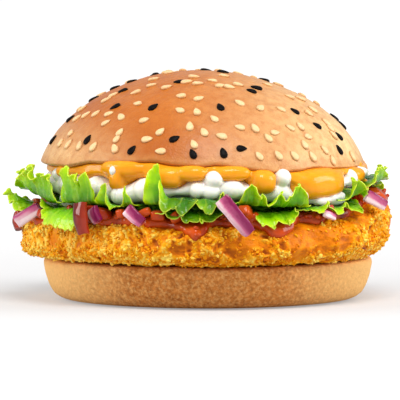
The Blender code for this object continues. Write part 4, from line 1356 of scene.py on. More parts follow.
@dataclass
class Patty:
    """The breaded patty and its loose-edged crumbs."""

    stack: Stack
    columns: int = 680
    rows: int = 136
    crag_depth: float = 0.55
    flake_count: int = 5200
    flake_long: tuple[float, float] = (0.36, 0.8)
    bare_east: float = 35.5
    bare_height: float = 20.5

    def edge(self, angle: Array, slope: Array, out: Array) -> Array:
        """Places on the patty's edge with its slow crags, for arrays of angle and slope.

        Args:
            angle: Angles round the burger.
            slope: 90 at the shoulder, 0 at the rim.
            out: Distance off the surface.

        Returns:
            Places.
        """
        radius, height = self.stack.patty_rim(angle, slope, out)
        swell = relief(spots(radius, height * 1.4, angle), relief_waves(21, 22, 7.0, 15.0))
        crag = self.crag_depth * swell * np.maximum(np.cos(np.radians(slope)), 0.0) ** 1.5
        return spots(radius + crag, height, angle)

    def crumb(self, points: Array) -> tuple[Array, Array, Array]:
        """Height of the crumb in millimetres, its crest from 0 to 1, and where crumb lies thick. The crest
        paints shade in the pits and highlight on the crests.

        Winding crests of two and one millimetre stand on clumps of four; on the left they are drawn out
        upwards. Where the broad noise is low, and round the bare place in front, the crumb thins out to a
        smooth glaze with faint wrinkles.

        Args:
            points: Places on the edge.

        Returns:
            Height, crest and thickness at each.
        """
        left = eased((-points[..., :1] - 14.0) / 16.0)
        stretch = np.concatenate([1 + 0.25 * left, 1 + 0.25 * left, 1 - 0.52 * left], axis=-1)
        bent = points * stretch + 0.9 * np.stack([soft_noise(points, 2.6, 60 + k) for k in range(3)], axis=-1)
        cover = soft_noise(points, 9.0, 57) + 0.6 * soft_noise(points, 4.5, 58)
        low = eased((19.5 - points[..., 2]) / 5.0)
        thick = eased((cover + 0.30 + 0.9 * left[..., 0] + 0.75 * low) / 0.55)
        aside, above = points[..., 0] - self.bare_east, points[..., 2] - self.bare_height
        bare = np.exp(-((aside / 8.0) ** 2) - (above / 4.0) ** 2)
        thick = thick * (1 - 0.85 * bare * (points[..., 1] < 0))
        clump, tone = grains(bent, 4.4, 41)
        crest = ridges(bent, 2.5, 45)
        grit, _ = grains(points, 0.62, 49)
        wrinkle = ridges(bent, 4.4, 52)
        rough = 0.72 * (0.8 - clump) + 0.9 * (crest - 0.5) + 0.16 * (0.6 - grit)
        height = rough * (0.34 + 0.66 * thick) + 0.22 * thick + 0.12 * (wrinkle - 0.5)
        height = height - 0.25 - 0.45 * left[..., 0]
        # The crest mark: painted highlight on the crests and raised clumps, painted shade in pits and
        # hollows.
        bright = 0.38 + 0.1 * left[..., 0] + 1.15 * (crest - 0.52) + 0.30 * (0.65 - clump)
        bright = bright + 0.22 * (tone - 0.5) + 0.2 * (0.5 - grit)
        smooth = 0.25 + 0.42 * (wrinkle - 0.5) + 0.14 * (0.5 - grit) + 0.1 * (0.6 - clump)
        return height, np.clip(smooth + (bright + 0.12 - smooth) * thick, 0.0, 1.0), thick

    def body(self) -> Piece:
        """Edge of the patty with its crumb, closed flat above and below where layers cover it.

        Returns:
            The piece.
        """
        stack = self.stack
        angle = ring(self.columns)
        slope = np.concatenate([[90.0], np.linspace(82, -80, self.rows), [-90.0]])[:, None]
        points = self.edge(angle[None, :], slope, 0.0)
        height, crest, _ = self.crumb(points)
        normals = grid_normals(points)
        fade = eased((90 - np.abs(slope)) / 14.0)
        points = points + normals * (height * fade)[..., None]
        flat = np.array([30.0, 42.0])[:, None]
        x, y = plan(flat, angle[None, :])
        top = polar_grid(flat + 0 * x, stack.patty_top(x, y), angle)
        foot = polar_grid(flat[::-1] + 0 * x, stack.patty_base(x)[::-1], angle)
        grid = np.concatenate([top, points, foot])
        none = np.full((2, self.columns), 0.3)
        marks = {"crest": np.concatenate([none, crest, none])}
        return dress(shell("patty_breading", grid, marks), BREADING_FINISH, ["patty"])

    def flakes(self) -> Piece:
        """Loose crumbs that stand up from the breading: thin lumpy flakes, each with its own tone and the
        painted highlight of the crest beneath it.

        Returns:
            The piece.
        """
        draw = np.random.default_rng(64)
        count = self.flake_count
        angle = draw.uniform(0, 360, count)
        slope = np.degrees(np.arcsin(draw.uniform(-0.94, 0.84, count)))
        place = self.edge(angle, slope, 0.0)
        height, crest, thick = self.crumb(place)
        normals = unit(self.edge(angle, slope, 1.0) - place)
        raised = height > -0.1 - 0.45 * (place[:, 0] < -20)
        chosen = draw.uniform(size=count) < 0.08 + 0.92 * thick * raised
        tilted = unit(normals + draw.normal(0, 0.55, (count, 3)))
        form, faces = ball(6, 4)
        lumps = form[None] * (1 + draw.uniform(-0.3, 0.3, (count, len(form), 1)))
        long = draw.uniform(*self.flake_long, count) * np.where(draw.uniform(size=count) < 0.15, 1.4, 1.0)
        wide, thin = draw.uniform(0.45, 0.8, count), draw.uniform(0.3, 0.55, count)
        sizes = np.stack([long, long * wide, long * thin], axis=-1)
        frames = frames_on(tilted, draw.uniform(0, 360, count)) * sizes[:, None, :]
        places = place + normals * (height + 0.1)[:, None]
        # Painted highlight carried from the crest beneath, plus a drawn tone of each crumb.
        tones = np.clip(0.30 + 0.55 * crest + draw.uniform(-0.15, 0.35, count), 0, 1)
        marks = {"crest": tones[chosen]}
        item = copies("patty_crumbs", lumps[chosen], faces, frames[chosen], places[chosen], marks)
        return dress(item, BREADING_FINISH)

    def build(self) -> None:
        """Makes the breading and its crumbs."""
        self.body()
        self.flakes()


# ---- sauces ----


@dataclass
class Salsa:
    """Salsa that lies on the patty and runs down its shoulder in tongues.

    A row of dice_rows is a lump that shows: angle, radius, height, half size and tone.
    """

    stack: Stack
    columns: int = 600
    rows: int = 52
    bit_count: int = 150
    bit_half: tuple[float, float] = (0.5, 1.25)
    dice_radius: float = 51.6
    dice_height: float = 28.6
    dice_half: tuple[float, float] = (1.6, 2.4)
    dice_rows: Rows = (
        (12.6, 52.6, 29.6, 2.6, 0.75), (15.5, 51.6, 27.9, 2.0, 0.5), (-36.5, 52.2, 28.6, 2.3, 0.1),
        (-41.5, 52.6, 29.6, 2.2, 0.05), (-29.5, 52.0, 28.9, 2.0, 0.55), (-21.0, 51.4, 29.2, 2.3, 0.7),
        (-16.5, 51.6, 28.6, 2.0, 0.45), (-10.5, 51.6, 28.0, 2.2, 0.6), (-67.0, 53.6, 26.9, 2.2, 0.3),
        (67.0, 51.0, 32.4, 1.9, 0.6), (46.0, 50.8, 29.4, 1.8, 0.2), (-52.0, 51.2, 29.0, 1.8, 0.2),
    )

    def reach(self, angle: Array) -> Array:
        """How far round the shoulder it has run, with small wavers between the tongues."""
        waver = 3.5 * np.sin(np.radians(angle * 23) + 1.0) + 2.5 * np.sin(np.radians(angle * 41))
        return np.clip(around(angle, self.stack.salsa_rows) - 3.0 + waver, 10, 88)

    def surface(self, angle: Array, share: Array) -> tuple[Array, Array]:
        """Places on top of the salsa and the pulp mark, for a share of the run.

        The depth falls from the full one to half at the lip, where it rounds off steeply; broad and small
        noise lifts lumps of up to a millimetre and a half.

        Args:
            angle: Angles round the burger.
            share: 0 at the shoulder, 1 at the lip.

        Returns:
            Places and pulp marks.
        """
        stack = self.stack
        slope = 90 - (90 - self.reach(angle)) * share
        lip = np.sqrt(np.clip(1 - share**9, 0, 1))
        deep = (stack.gap + stack.salsa_depth * (1 - 0.5 * share)) * lip
        radius, height = stack.patty_rim(angle, slope, deep)
        points = spots(radius, height, angle)
        lump = soft_noise(points, 3.4, 71) + 0.55 * soft_noise(points, 1.6, 72)
        pulp = np.clip(0.42 + 0.55 * lump + 0.25 * (share - 0.5), 0, 1)
        lift = np.maximum(lump + 0.2, -0.2) * 0.8 * lip * (1 - 0.5 * share)
        radius, height = stack.patty_rim(angle, slope, deep + lift)
        return spots(radius, height, angle), pulp

    def body(self) -> Piece:
        """Top, lip and hidden underside that sinks a little into the breading.

        Returns:
            The piece.
        """
        stack = self.stack
        angle = ring(self.columns)[None, :]
        share = np.sin(np.linspace(0, np.pi / 2, self.rows))[:, None]
        top, pulp = self.surface(angle, share)
        under_share = np.linspace(1.0, 0.0, 8)[1:, None]
        slope = 90 - (90 - self.reach(angle)) * under_share
        under_radius, under_height = stack.patty_rim(angle, slope, -0.5)
        under = polar_grid(under_radius, under_height, angle[0])
        flat = np.array([30.0, 42.0])[:, None]
        x, y = plan(flat, angle)
        level = stack.patty_top(x, y)
        inner_top = polar_grid(flat + 0 * x, level + stack.gap + stack.salsa_depth, angle[0])
        inner_foot = polar_grid(flat[::-1] + 0 * x, level[::-1] - 0.5, angle[0])
        grid = np.concatenate([inner_top, top, under, inner_foot])
        quiet = np.full((2, self.columns), 0.3)
        mark = np.concatenate([quiet, pulp, np.full(under.shape[:2], 0.3), quiet])
        return dress(shell("salsa_body", grid, {"pulp": mark}), SALSA_FINISH, ["salsa"])

    def lumps(
        self, name: str, places: Array, halves: Array, tones: Array, square: float, seed: int
    ) -> Piece:
        """Soft cut lumps: balls pressed towards cubes, each with its own noise.

        Args:
            name: Name of the piece.
            places: Centres.
            halves: Half size of each.
            tones: Pulp mark of each.
            square: Power that presses a ball towards a cube.
            seed: Seed of the turns and noise.

        Returns:
            The dressed piece.
        """
        draw = np.random.default_rng(seed)
        count = len(places)
        form, faces = ball(14, 9)
        form = np.sign(form) * np.abs(form) ** square
        shift = draw.uniform(0, 60, (count, 1, 3))
        forms = form[None] * (1 + 0.16 * soft_noise(form[None] * 1.1 + shift, 1.0, seed))[..., None]
        sizes = halves[:, None] * draw.uniform([0.9, 0.75, 0.55], [1.35, 1.05, 0.85], (count, 3))
        normals = unit(draw.normal(0, 0.5, (count, 3)) + np.array([0, 0, 1.0]))
        frames = frames_on(normals, draw.uniform(0, 360, count)) * sizes[:, None, :]
        return dress(copies(name, forms, faces, frames, places, {"pulp": tones}), SALSA_FINISH)

    def build(self) -> None:
        """Makes the salsa, its small bits and the larger dice near its rim."""
        self.body()
        draw = np.random.default_rng(81)
        angle = draw.uniform(0, 360, self.bit_count)
        place, _ = self.surface(angle, draw.uniform(0.2, 0.84, self.bit_count))
        place[:, 2] -= 0.15
        halves = draw.uniform(*self.bit_half, self.bit_count)
        self.lumps("salsa_bits", place, halves, draw.uniform(0.0, 1.0, self.bit_count), 0.85, 82)
        back = [
            (at + draw.uniform(-3, 3), self.dice_radius, self.dice_height,
             draw.uniform(*self.dice_half), draw.uniform(0, 0.8))
            for at in range(84, 280, 13)
        ]
        angle, radius, height, half, tone = np.array(list(self.dice_rows) + back).T
        x, y = plan(radius, angle)
        self.lumps("salsa_dice", np.column_stack([x, y, height]), 0.9 * half, tone, 0.5, 83)


@dataclass
class SoftLayer:
    """A creamy layer between two height rules, with a round rim and drops that stand out of it.

    A row of drops is: angle, height, half width, half height and the radius that it reaches.
    """

    name: str
    finish: Finish
    node: str
    rim_radius: Callable[[Array], Array]
    low: Callable[[Array, Array], Array]
    high: Callable[[Array, Array], Array]
    drops: Array
    sag: float = 0.0
    square: float = 2.0
    crest: float = 2.3
    lift: float = 0.25
    dip: float = 0.25
    cap: float = 9.0
    columns: int = 900
    rows: int = 72
    core: float = 43.6
    blunt: float = 2.3
    blend: float = 2.4
    degree: float = 0.865

    def edge(self, angle: Array, sign: float) -> Array:
        """Height of the layer's upper (sign 1) or lower (sign -1) edge at the rim, drops and all.

        Args:
            angle: Angles round the burger.
            sign: 1 for the upper edge, -1 for the lower.

        Returns:
            Heights.
        """
        rule = self.high if sign > 0 else self.low
        rule_edge = rule(np.full_like(angle, 48.0), angle)
        edge = rule_edge
        for at, height, wide, tall, _ in self.drops:
            across = self.apart(angle, at) / wide
            swell = np.clip(1 - np.abs(across) ** self.square, 0, 1) ** (1 / self.square)
            lip = np.where(np.abs(across) < 1, height + sign * tall * swell, edge)
            if sign > 0:
                edge = np.maximum(edge, np.minimum(lip, rule_edge + self.cap))
            else:
                edge = np.minimum(edge, lip)
        return edge + (self.lift if sign > 0 else -self.dip)

    def apart(self, angle: Array, at: float) -> Array:
        """Distance along the rim between an angle and a drop, in millimetres."""
        return ((angle - at + 180) % 360 - 180) * self.degree

    def build(self) -> Piece:
        """Radius as a smooth greatest of the layer's own rim and of each drop, over angle and height.

        The rim is a blunt half ellipse between the layer's two heights, fuller below by the sag. A drop is a
        flattened ball: its reach less its roundness times one minus the root of what is left of its square.
        The smooth greatest is the logarithm of the sum of exponentials of the radii times the blend.

        Returns:
            The piece.
        """
        angle = ring(self.columns)[None, :]
        top, foot = self.edge(angle, 1.0), self.edge(angle, -1.0)
        share = 0.5 - 0.5 * np.cos(np.linspace(0, np.pi, self.rows))[:, None]
        share = 0.5 * share + 0.5 * np.linspace(0, 1, self.rows)[:, None]
        height = top + (foot - top) * share
        outer = self.rim_radius(angle)
        floor, ceiling = self.low(outer, angle), self.high(outer, angle)
        middle, half = (floor + ceiling) / 2, (ceiling - floor) / 2
        rise = (height - middle) / half
        power = np.where(rise > 0, self.crest, self.blunt)
        inside = np.clip(1 - np.abs(rise) ** power, 0, 1) ** (1 / power)
        rim = self.core + (outer - self.core) * inside - self.sag * rise * inside
        total = np.exp(self.blend * (rim - self.core))
        for at, level, wide, tall, reach in self.drops:
            across = np.abs(self.apart(angle, at) / wide)
            up = np.abs((height - level) / tall)
            left = 1 - across**self.square - up**self.square
            deep = 1.15 * min(wide, tall)
            ball_radius = reach - deep * (1 - np.sqrt(np.clip(left, 0, 1))) + 3.0 * np.minimum(left, 0)
            total = total + np.exp(self.blend * (ball_radius - self.core))
        radius = self.core + np.log(total) / self.blend
        radius = radius + 0.22 * soft_noise(spots(radius, height, angle), 4.5, 27)
        flat = np.array([20.0, 34.0, 40.0])[:, None] + 0 * angle
        radius = np.concatenate([flat, radius, flat[::-1]])
        height = np.concatenate([self.high(flat, angle), height, self.low(flat[::-1], angle)])
        return dress(shell(self.name, polar_grid(radius, height, angle[0])), self.finish, [self.node])


@dataclass
class Sauces:
    """Mayonnaise with its drops, and the cheese sauce that hangs over it.

    Drops beyond the back's start and stop angles are tucked in, because they show past the crown in front.
    """

    stack: Stack
    back_start: float = 104.0
    back_stop: float = 256.0
    back_tuck: float = 2.0
    mayo_rows: Rows = (
        (-69.5, 38.6, 2.2, 2.2, 49.6), (-61.5, 35.4, 3.2, 2.9, 50.2), (-60.0, 31.6, 3.0, 2.3, 50.8),
        (-44.9, 35.9, 2.2, 3.0, 50.6), (-33.0, 33.9, 2.9, 2.8, 50.9), (-34.0, 41.3, 1.2, 1.5, 51.2),
        (-22.4, 35.9, 4.2, 3.5, 50.9), (-3.6, 36.0, 2.4, 2.5, 50.7), (2.4, 39.2, 2.9, 2.6, 51.2),
        (1.2, 35.5, 3.2, 2.4, 50.8), (8.8, 36.2, 4.0, 2.9, 51.1), (14.4, 35.0, 2.4, 2.2, 50.5),
        (27.9, 39.3, 2.7, 2.7, 50.8), (35.3, 33.4, 2.2, 2.8, 50.8), (45.0, 31.9, 3.2, 1.5, 50.2),
        (52.0, 32.4, 5.2, 2.2, 50.8), (63.0, 37.8, 2.6, 2.8, 50.4), (74.0, 39.0, 3.0, 1.6, 50.2),
    )
    cheese_rows: Rows = (
        (-63.5, 39.8, 4.2, 1.9, 49.8), (-32.0, 41.9, 7.8, 2.5, 50.3), (-33.6, 38.4, 2.6, 3.1, 50.9),
        (-14.2, 39.6, 5.0, 3.4, 51.0), (-5.4, 40.9, 4.6, 2.4, 50.6), (9.0, 40.8, 5.6, 2.3, 50.4),
        (20.2, 38.2, 4.4, 3.8, 51.2), (44.8, 36.9, 11.8, 4.8, 51.6), (67.5, 38.4, 4.4, 2.4, 50.6),
        (71.5, 35.2, 2.2, 2.4, 51.0),
    )

    def back_drops(self, column: int, seed: int, offset: float) -> list[tuple[float, ...]]:
        """Drops for the side that faces away, at uneven steps along the layer's lower edge.

        Args:
            column: Column of the rim's rows.
            seed: Seed of the draws.
            offset: Height over the edge.

        Returns:
            Rows of drops.
        """
        draw = np.random.default_rng(seed)
        rows = []
        for angle in np.arange(82, 276, 15.5) + draw.uniform(-4, 4, 13):
            low = float(around(angle, self.stack.rim_rows, column))
            wide, tall, reach = draw.uniform(2.4, 4.2), draw.uniform(1.8, 2.9), draw.uniform(49.6, 50.5)
            if not self.back_start < angle < self.back_stop:
                reach -= self.back_tuck
            rows.append((angle, low + offset, wide, tall, reach))
        return rows

    def build(self) -> None:
        """Makes both layers."""
        stack = self.stack

        def mayo_rim(angle: Array) -> Array:
            """Rim radius of the mayonnaise: it bulges where the cheese sauce stays above it."""
            bulge = stack.mayo_bulge * stack.mayo_share(angle)
            return stack.mayo_radius + bulge + ripple(angle, [(17, 0.25, 0.3)])

        def cheese_rim(angle: Array) -> Array:
            """Rim radius of the cheese sauce: it bulges where it hangs low."""
            bulge = stack.cheese_bulge * (1 - stack.mayo_share(angle))
            return stack.cheese_radius + bulge + ripple(angle, [(13, 0.2, 1.1), (29, 0.12, 0.0)])

        def mayo_ceiling(radius: Array, angle: Array) -> Array:
            """The mayonnaise ends just inside the cheese sauce."""
            return stack.cheese_base(radius, angle) + 0.1

        def cheese_ceiling(radius: Array, angle: Array) -> Array:
            """The cheese sauce ends just inside the crown."""
            return stack.crown_base(radius, angle) + 0.1

        mayo = np.array(list(self.mayo_rows) + self.back_drops(2, 23, 1.6))
        cheese = np.array(list(self.cheese_rows) + self.back_drops(1, 29, 1.2))
        SoftLayer(
            "mayonnaise_body", MAYO_FINISH, "mayonnaise", mayo_rim, stack.mayo_base, mayo_ceiling, mayo
        ).build()
        SoftLayer(
            "cheese_drape", CHEESE_FINISH, "cheese_sauce",
            cheese_rim, stack.cheese_base, cheese_ceiling, cheese,
            sag=0.3, square=2.6, crest=6.0, lift=0.9, cap=0.0,
        ).build()


# ---- lettuce ----


@dataclass
class Lettuce:
    """Two tiers of frilled leaves round a packed middle.

    A row of low_rows or high_rows is: angle, upward bend of the free margin in degrees, its length, and how
    far it leans round the burger in degrees. A row of dark_rows is: angle, and how shaded the leaves are.
    """

    stack: Stack
    thickness: float = 0.5
    bend_run: float = 4.5
    clear: float = 3.9
    root: dict[Tier, float] = field(default_factory=lambda: {Tier.LOW: 49.0, Tier.HIGH: 50.6})
    low_rows: Rows = (
        (-104, 5, 5, 0), (-98, 14, 7, 0), (-93, 22, 10.5, 0), (-89.5, 22, 13.0, 0), (-86.5, 8, 9.5, 0),
        (-84, -8, 8.5, 0), (-81, -10, 7.5, 0), (-78, -4, 6, 0), (-75.5, 0, 4.5, 0), (-68, 30, 4, -1),
        (-66, 48, 6, -1), (-63, 10, 6, 0), (-60.5, -30, 8, 0), (-57, -44, 9, 0), (-53.5, -50, 9.6, 0),
        (-50.5, -52, 10, 1), (-48, -48, 9.8, 2), (-46, -30, 8, 2), (-43.5, -10, 5, 1), (-19, 12, 4, 0),
        (-14, 4, 5, 0), (-9, -14, 6, 0), (-4, -28, 6.5, 0), (-1, -36, 7, 0), (2, -20, 6, 0),
        (4.5, -12, 5, 0), (14.5, -20, 5, 0), (16.2, -34, 6.5, 0), (18, -52, 7.8, 0.5), (20.3, -54, 8, 0.5),
        (22.5, -38, 6.8, 0.5), (24.8, -44, 7.2, 1), (27, -38, 6.6, 1), (29, -12, 5.5, 0), (31, 20, 5, -1),
        (33, 30, 4.5, -1), (35, -5, 4.5, 0), (37.5, -16, 5, 0), (40, -8, 5, 0), (42, 28, 5, 0),
        (44, 0, 5, 0), (46, -26, 6, 0), (49, -6, 5, 0), (51, 22, 5, 0), (53.2, -10, 6, 0),
        (55.5, -42, 6.8, 0), (58.5, -30, 6, 0), (61, -10, 5, 0), (86, -6, 3.4, 0), (91, 8, 3.8, 0),
        (97, -8, 4, 1), (104, 10, 5, -1),
        *back_rows(111, 252, 21, 11, [(-58, 8), (9.5, 6.0), (-2, 2)]),
    )
    high_rows: Rows = (
        (-97, 8, 6.5, 0), (-93, 18, 7.2, 0), (-90, 42, 8, 1), (-86, 66, 9.6, 2), (-82, 52, 8.6, 0.5),
        (-78, 72, 10.6, 1.5), (-74, 80, 12, 1.5), (-70, 60, 9.6, 2), (-66, 76, 10.8, 3.4),
        (-62.5, 74, 10, 4), (-60.2, 56, 8, 3.4), (-58, 20, 5.5, 2), (-53, 50, 6, -2),
        (-51.5, 76, 10.6, -2.6), (-49, 80, 12.8, -1.2), (-46.3, 80, 10.9, 0), (-44.7, 70, 9, 0),
        (-43, 76, 10.6, 0.4), (-41, 80, 12.2, 0.9), (-39.6, 70, 9.5, 0.5), (-38.4, 40, 6, 0.3),
        (-36.8, 52, 6.2, -0.8), (-35.2, 70, 8.6, -0.9), (-33.6, 74, 8.8, -0.4), (-32.3, 10, 5, 0),
        (-31, -34, 5.2, -0.6), (-29.5, -10, 4, 0), (-28.6, 40, 5.5, 0), (-27, 70, 9.2, -0.6),
        (-25, 66, 8, 0), (-23.6, 40, 5, 0), (-17, 60, 8, -3), (-15.6, 84, 14.2, -3.6),
        (-14.2, 84, 13.6, -2.6), (-13, 66, 8, -1.4), (-12, 0, 6.5, -1.4), (-10.8, -24, 7.4, -2),
        (-9.2, -38, 6.8, -1.6), (-7.6, -40, 6.6, -0.8), (-6.2, -52, 7.6, -0.4), (-5, -34, 6, 0.2),
        (-3.8, 0, 5, 0.4), (-2.4, -30, 6, -0.6), (-0.8, -46, 7.4, -0.3), (1, -46, 7, 0), (2.4, -10, 5.2, 0),
        (3.7, 36, 5.5, 0.8), (4.9, 52, 5.8, 0.8), (6.2, -18, 5.6, 0), (7.4, -38, 6, -0.2), (8.6, -10, 4, 0),
        (10.6, 40, 5, 0), (12.4, 74, 9.2, 0), (14.2, 68, 8.4, 0.4), (15.8, 30, 6, 0.4),
        (17.6, 60, 5.8, 0.4), (19.4, 8, 5.5, 0), (21.5, 50, 7, 0.8), (23.4, 64, 7.2, 0.4), (25.3, 38, 6, 0),
        (27.6, 70, 7.8, 0.4), (30, 72, 8.4, 0.8), (32, 58, 7.2, 1), (33.6, 20, 4.5, 0.8), (50.5, 40, 5, 0),
        (52.5, 78, 8.8, 0.8), (54.5, 70, 8, 0.6), (57, 20, 6.5, 0), (59, -38, 6.8, -1),
        (60.6, -10, 4, -0.8), (64, 10, 4.6, 0), (68, 60, 5.6, 0), (72, 80, 6.6, 0.4), (76, 82, 6.8, 0.8),
        (80, 76, 6.2, 0.4), (84, 30, 4.4, 0), (88, -10, 3.8, 0), (91.5, 0, 3.6, 0), (98, -14, 4.6, 0),
        (106, 12, 4.4, 1), (114, -14, 5.2, -1), (122, 14, 5, 1), (129, 6, 5.6, -1),
        *back_rows(134, 230, 16, 13, [(4, 72), (5.5, 8.5), (-2, 2)]),
        (234, 8, 6, 0), (240, 28, 6.4, 1), (246, 12, 6, -1), (252, 8, 5, 0),
    )
    spans: dict[Tier, Rows] = field(
        default_factory=lambda: {
            Tier.LOW: [
                (-104, -75.5), (-68, -43.5), (-19, 4.5), (14.5, 33), (35, 61),
                (86, 112), (124, 150), (162, 190), (202, 228),
            ],
            Tier.HIGH: [
                (-97, -58), (-53, -38.4), (-36.8, -29.5), (-28.6, -23.6), (-17, -3.8), (-2.4, 8.6),
                (10.6, 33.6), (50.5, 60.6), (64, 91.5), (98, 142), (152, 196), (206, 252),
            ],
        }
    )
    dark_rows: Rows = (
        (-104, 0.3), (-96, 0.35), (-88, 0.25), (-80, 0.15), (-70, 0.3), (-60, 0.25), (-50, 0.1),
        (-44, 0.25), (-38, 0.15), (-24, 0.1), (-17, 0.0), (-13.5, 0.1), (-11, 0.8), (-8, 1.0), (-4, 0.9),
        (-2, 0.6), (2, 0.95), (5, 0.5), (8.5, 0.85), (11, 0.2), (16, 0.3), (20, 0.1), (33, 0.2), (42, 0.1),
        (58, 0.45), (72, 0.3), (90, 0.5), (140, 0.3), (200, 0.45), (250, 0.2),
    )
    steps: int = 30
    per_degree: float = 8.0
    fold: float = 6.5
    lobe: float = 4.0
    lobe_depth: float = 1.5
    ruffle_turn: float = 19.0
    frill_turn: float = 40.0
    frill_pace: float = 2.7
    vein_pitch: float = 3.4
    vein_width: float = 0.07
    middle_radius: float = 44.6
    middle_columns: int = 420

    def leaf(self, tier: Tier, number: int, span: tuple[float, float]) -> Piece:
        """One leaf: its margin follows the tier's bends and breaks into lobes and frills.

        At each angle the leaf leaves its bed level, then turns to the bend within a few millimetres; its
        path is the running sum of the cosine and sine of that heading. Folds of uneven width swing the
        heading and the angle more and more towards the margin, and small frills do so near the margin only.
        The length is cut back between rounded lobes: by the lobe depth times one minus the size of a sine.

        Args:
            tier: The leaf's tier.
            number: Its number there.
            span: Angles where it starts and stops.

        Returns:
            The piece.
        """
        stack, rows = self.stack, self.low_rows if tier is Tier.LOW else self.high_rows
        start, stop = span
        angles = np.linspace(start - 0.8, stop + 0.8, int((stop - start) * self.per_degree))
        seed = 100 * number + (0 if tier is Tier.LOW else 50)
        line = np.stack([angles, np.full_like(angles, seed), np.zeros_like(angles)], axis=-1)
        bend = around(angles, rows, 1)[:, None]
        length = around(angles, rows, 2)[:, None]
        lean = around(angles, rows, 3)[:, None]
        ends = np.minimum(angles - angles[0], angles[-1] - angles)[:, None]
        length = length * (0.35 + 0.65 * eased(ends / 4.0))
        lobes = self.phase(line, self.lobe, seed + 1) / 2
        cut = 0.7 * (1 - np.abs(np.sin(lobes)) ** 0.7) + 0.3 * (1 - np.abs(np.sin(3.1 * lobes)) ** 0.8)
        length = length + self.lobe_depth * (0.42 - cut[:, None]) * np.clip(length / 7.0, 0.5, 1.0)
        s = np.linspace(0, 1, self.steps + 1)[None, :]
        phase = self.phase(line, self.fold, seed + 3)
        strength = (0.75 + 0.45 * soft_noise(line, 6.0, seed + 4))[:, None]
        free = np.clip((length - 3.5) / 4.0, 0.15, 1.0)
        ruffle = self.ruffle_turn * strength * np.sin(phase)[:, None] * s**2
        quick = self.frill_pace * phase
        frill = self.frill_turn * free * np.sin(quick + 2 * soft_noise(line, 3.0, seed + 9))[:, None] * s**5
        heading = np.radians(bend * eased(s * length / self.bend_run) + ruffle + frill)
        stride = length / self.steps
        middle = (heading[:, 1:] + heading[:, :-1]) / 2
        zero = np.zeros((len(angles), 1))
        out = np.concatenate([zero, np.cumsum(np.cos(middle) * stride, axis=1)], axis=1)
        up = np.concatenate([zero, np.cumsum(np.sin(middle) * stride, axis=1)], axis=1)
        root = self.root[tier]
        angle = angles[:, None]
        bed_radius = np.linspace(stack.core_radius, root, 9)[None, :-1] + zero
        edge_height = self.bed(tier, root + zero, angle)
        radius = np.concatenate([bed_radius, root + out], axis=1)
        height = np.concatenate([self.bed(tier, bed_radius, angle), edge_height + up], axis=1)
        if tier is Tier.LOW:
            radius, height = stack.off_patty(radius, height, angle, self.clear)
        turned = 1.0 * strength * np.cos(phase)[:, None] * s**1.6
        turned = turned + 0.35 * np.cos(quick)[:, None] * s**4 + lean * s**1.3
        swing = np.concatenate([0 * bed_radius, turned], axis=1)
        points = spots(radius, height, angle + swing)
        crinkle = 0.38 * soft_noise(points, 3.0, seed + 5) + 0.12 * soft_noise(points, 1.2, seed + 6)
        crinkle = crinkle + 0.3 * (ridges(points, 2.6, seed + 8) - 0.5)
        points = points + crinkle[..., None] * self.sheet_normals(points)
        margin = np.concatenate([0 * bed_radius, s + zero], axis=1)
        rib = angles * 0.87 / self.vein_pitch + 0.5 * soft_noise(line, 3.0, seed + 7)
        near = np.abs(rib[:, None] - np.round(rib[:, None]) + 0.08 * np.sin(9 * margin))
        vein = np.exp(-((near / self.vein_width) ** 2)) * (1 - 0.7 * margin)
        dark = np.broadcast_to(around(angles, self.dark_rows)[:, None], margin.shape)
        marks = {"margin": margin, "vein": vein, "dark": dark}
        return self.sheet(f"leaf_{tier.value}_{number}", points, marks, f"lettuce_{tier.value}_{number}")

    def phase(self, line: Array, width: float, seed: int) -> Array:
        """Running phase along a leaf of waves whose width varies by two fifths about a mean in degrees."""
        pace = 2 * np.pi / width / (1 + 0.4 * soft_noise(line, 7.0, seed))
        return np.cumsum(pace) * (line[1, 0] - line[0, 0]) + 6.0 * lattice(line[:1].astype(np.int64), seed)

    def bed(self, tier: Tier, radius: Array, angle: Array) -> Array:
        """Height at which a leaf lies before its free margin: on the salsa, or under the mayonnaise."""
        stack, low = self.stack, tier is Tier.LOW
        return stack.over_patty(radius, angle, self.clear) if low else stack.mayo_base(radius, angle) - 0.5

    def sheet_normals(self, points: Array) -> Array:
        """Unit normals of an open grid, from the cross product of its two differences."""
        return unit(np.cross(np.gradient(points, axis=0), np.gradient(points, axis=1)))

    def sheet(self, name: str, points: Array, marks: dict[str, Array], node: str) -> Piece:
        """A closed thin sheet: the grid moved half its thickness each way along its normals.

        Args:
            name: Name of the object.
            points: (across, along, 3) middle of the sheet.
            marks: The margin mark, 0 at the root to 1 at the free margin, and the vein and dark marks.
            node: The solid that it replaces.

        Returns:
            The dressed leaf.
        """
        across, along = points.shape[:2]
        thin = 0.5 * self.thickness * (1 - 0.55 * marks["margin"])[..., None]
        normals = self.sheet_normals(points)
        halves = [points + normals * thin, points - normals * thin]
        whole = np.concatenate([half.reshape(-1, 3) for half in halves])
        i, j = np.meshgrid(np.arange(across - 1), np.arange(along - 1), indexing="ij")
        a = (i * along + j).ravel()
        upper = np.stack([a, a + along, a + along + 1, a + 1], axis=-1)
        lower = upper[:, ::-1] + across * along
        edge = np.concatenate(
            [
                np.arange(along - 1),
                np.arange(across - 1) * along + along - 1,
                (across - 1) * along + np.arange(along - 1, 0, -1),
                np.arange(across - 1, 0, -1) * along,
            ]
        )
        after = np.roll(edge, -1)
        side = np.stack([edge, after, after + across * along, edge + across * along], axis=-1)
        both = {key: np.tile(mark.ravel(), 2) for key, mark in marks.items()}
        item = write_mesh(name, whole, np.concatenate([upper, lower, side]), both)
        return dress(item, LEAF_FINISH, [node])

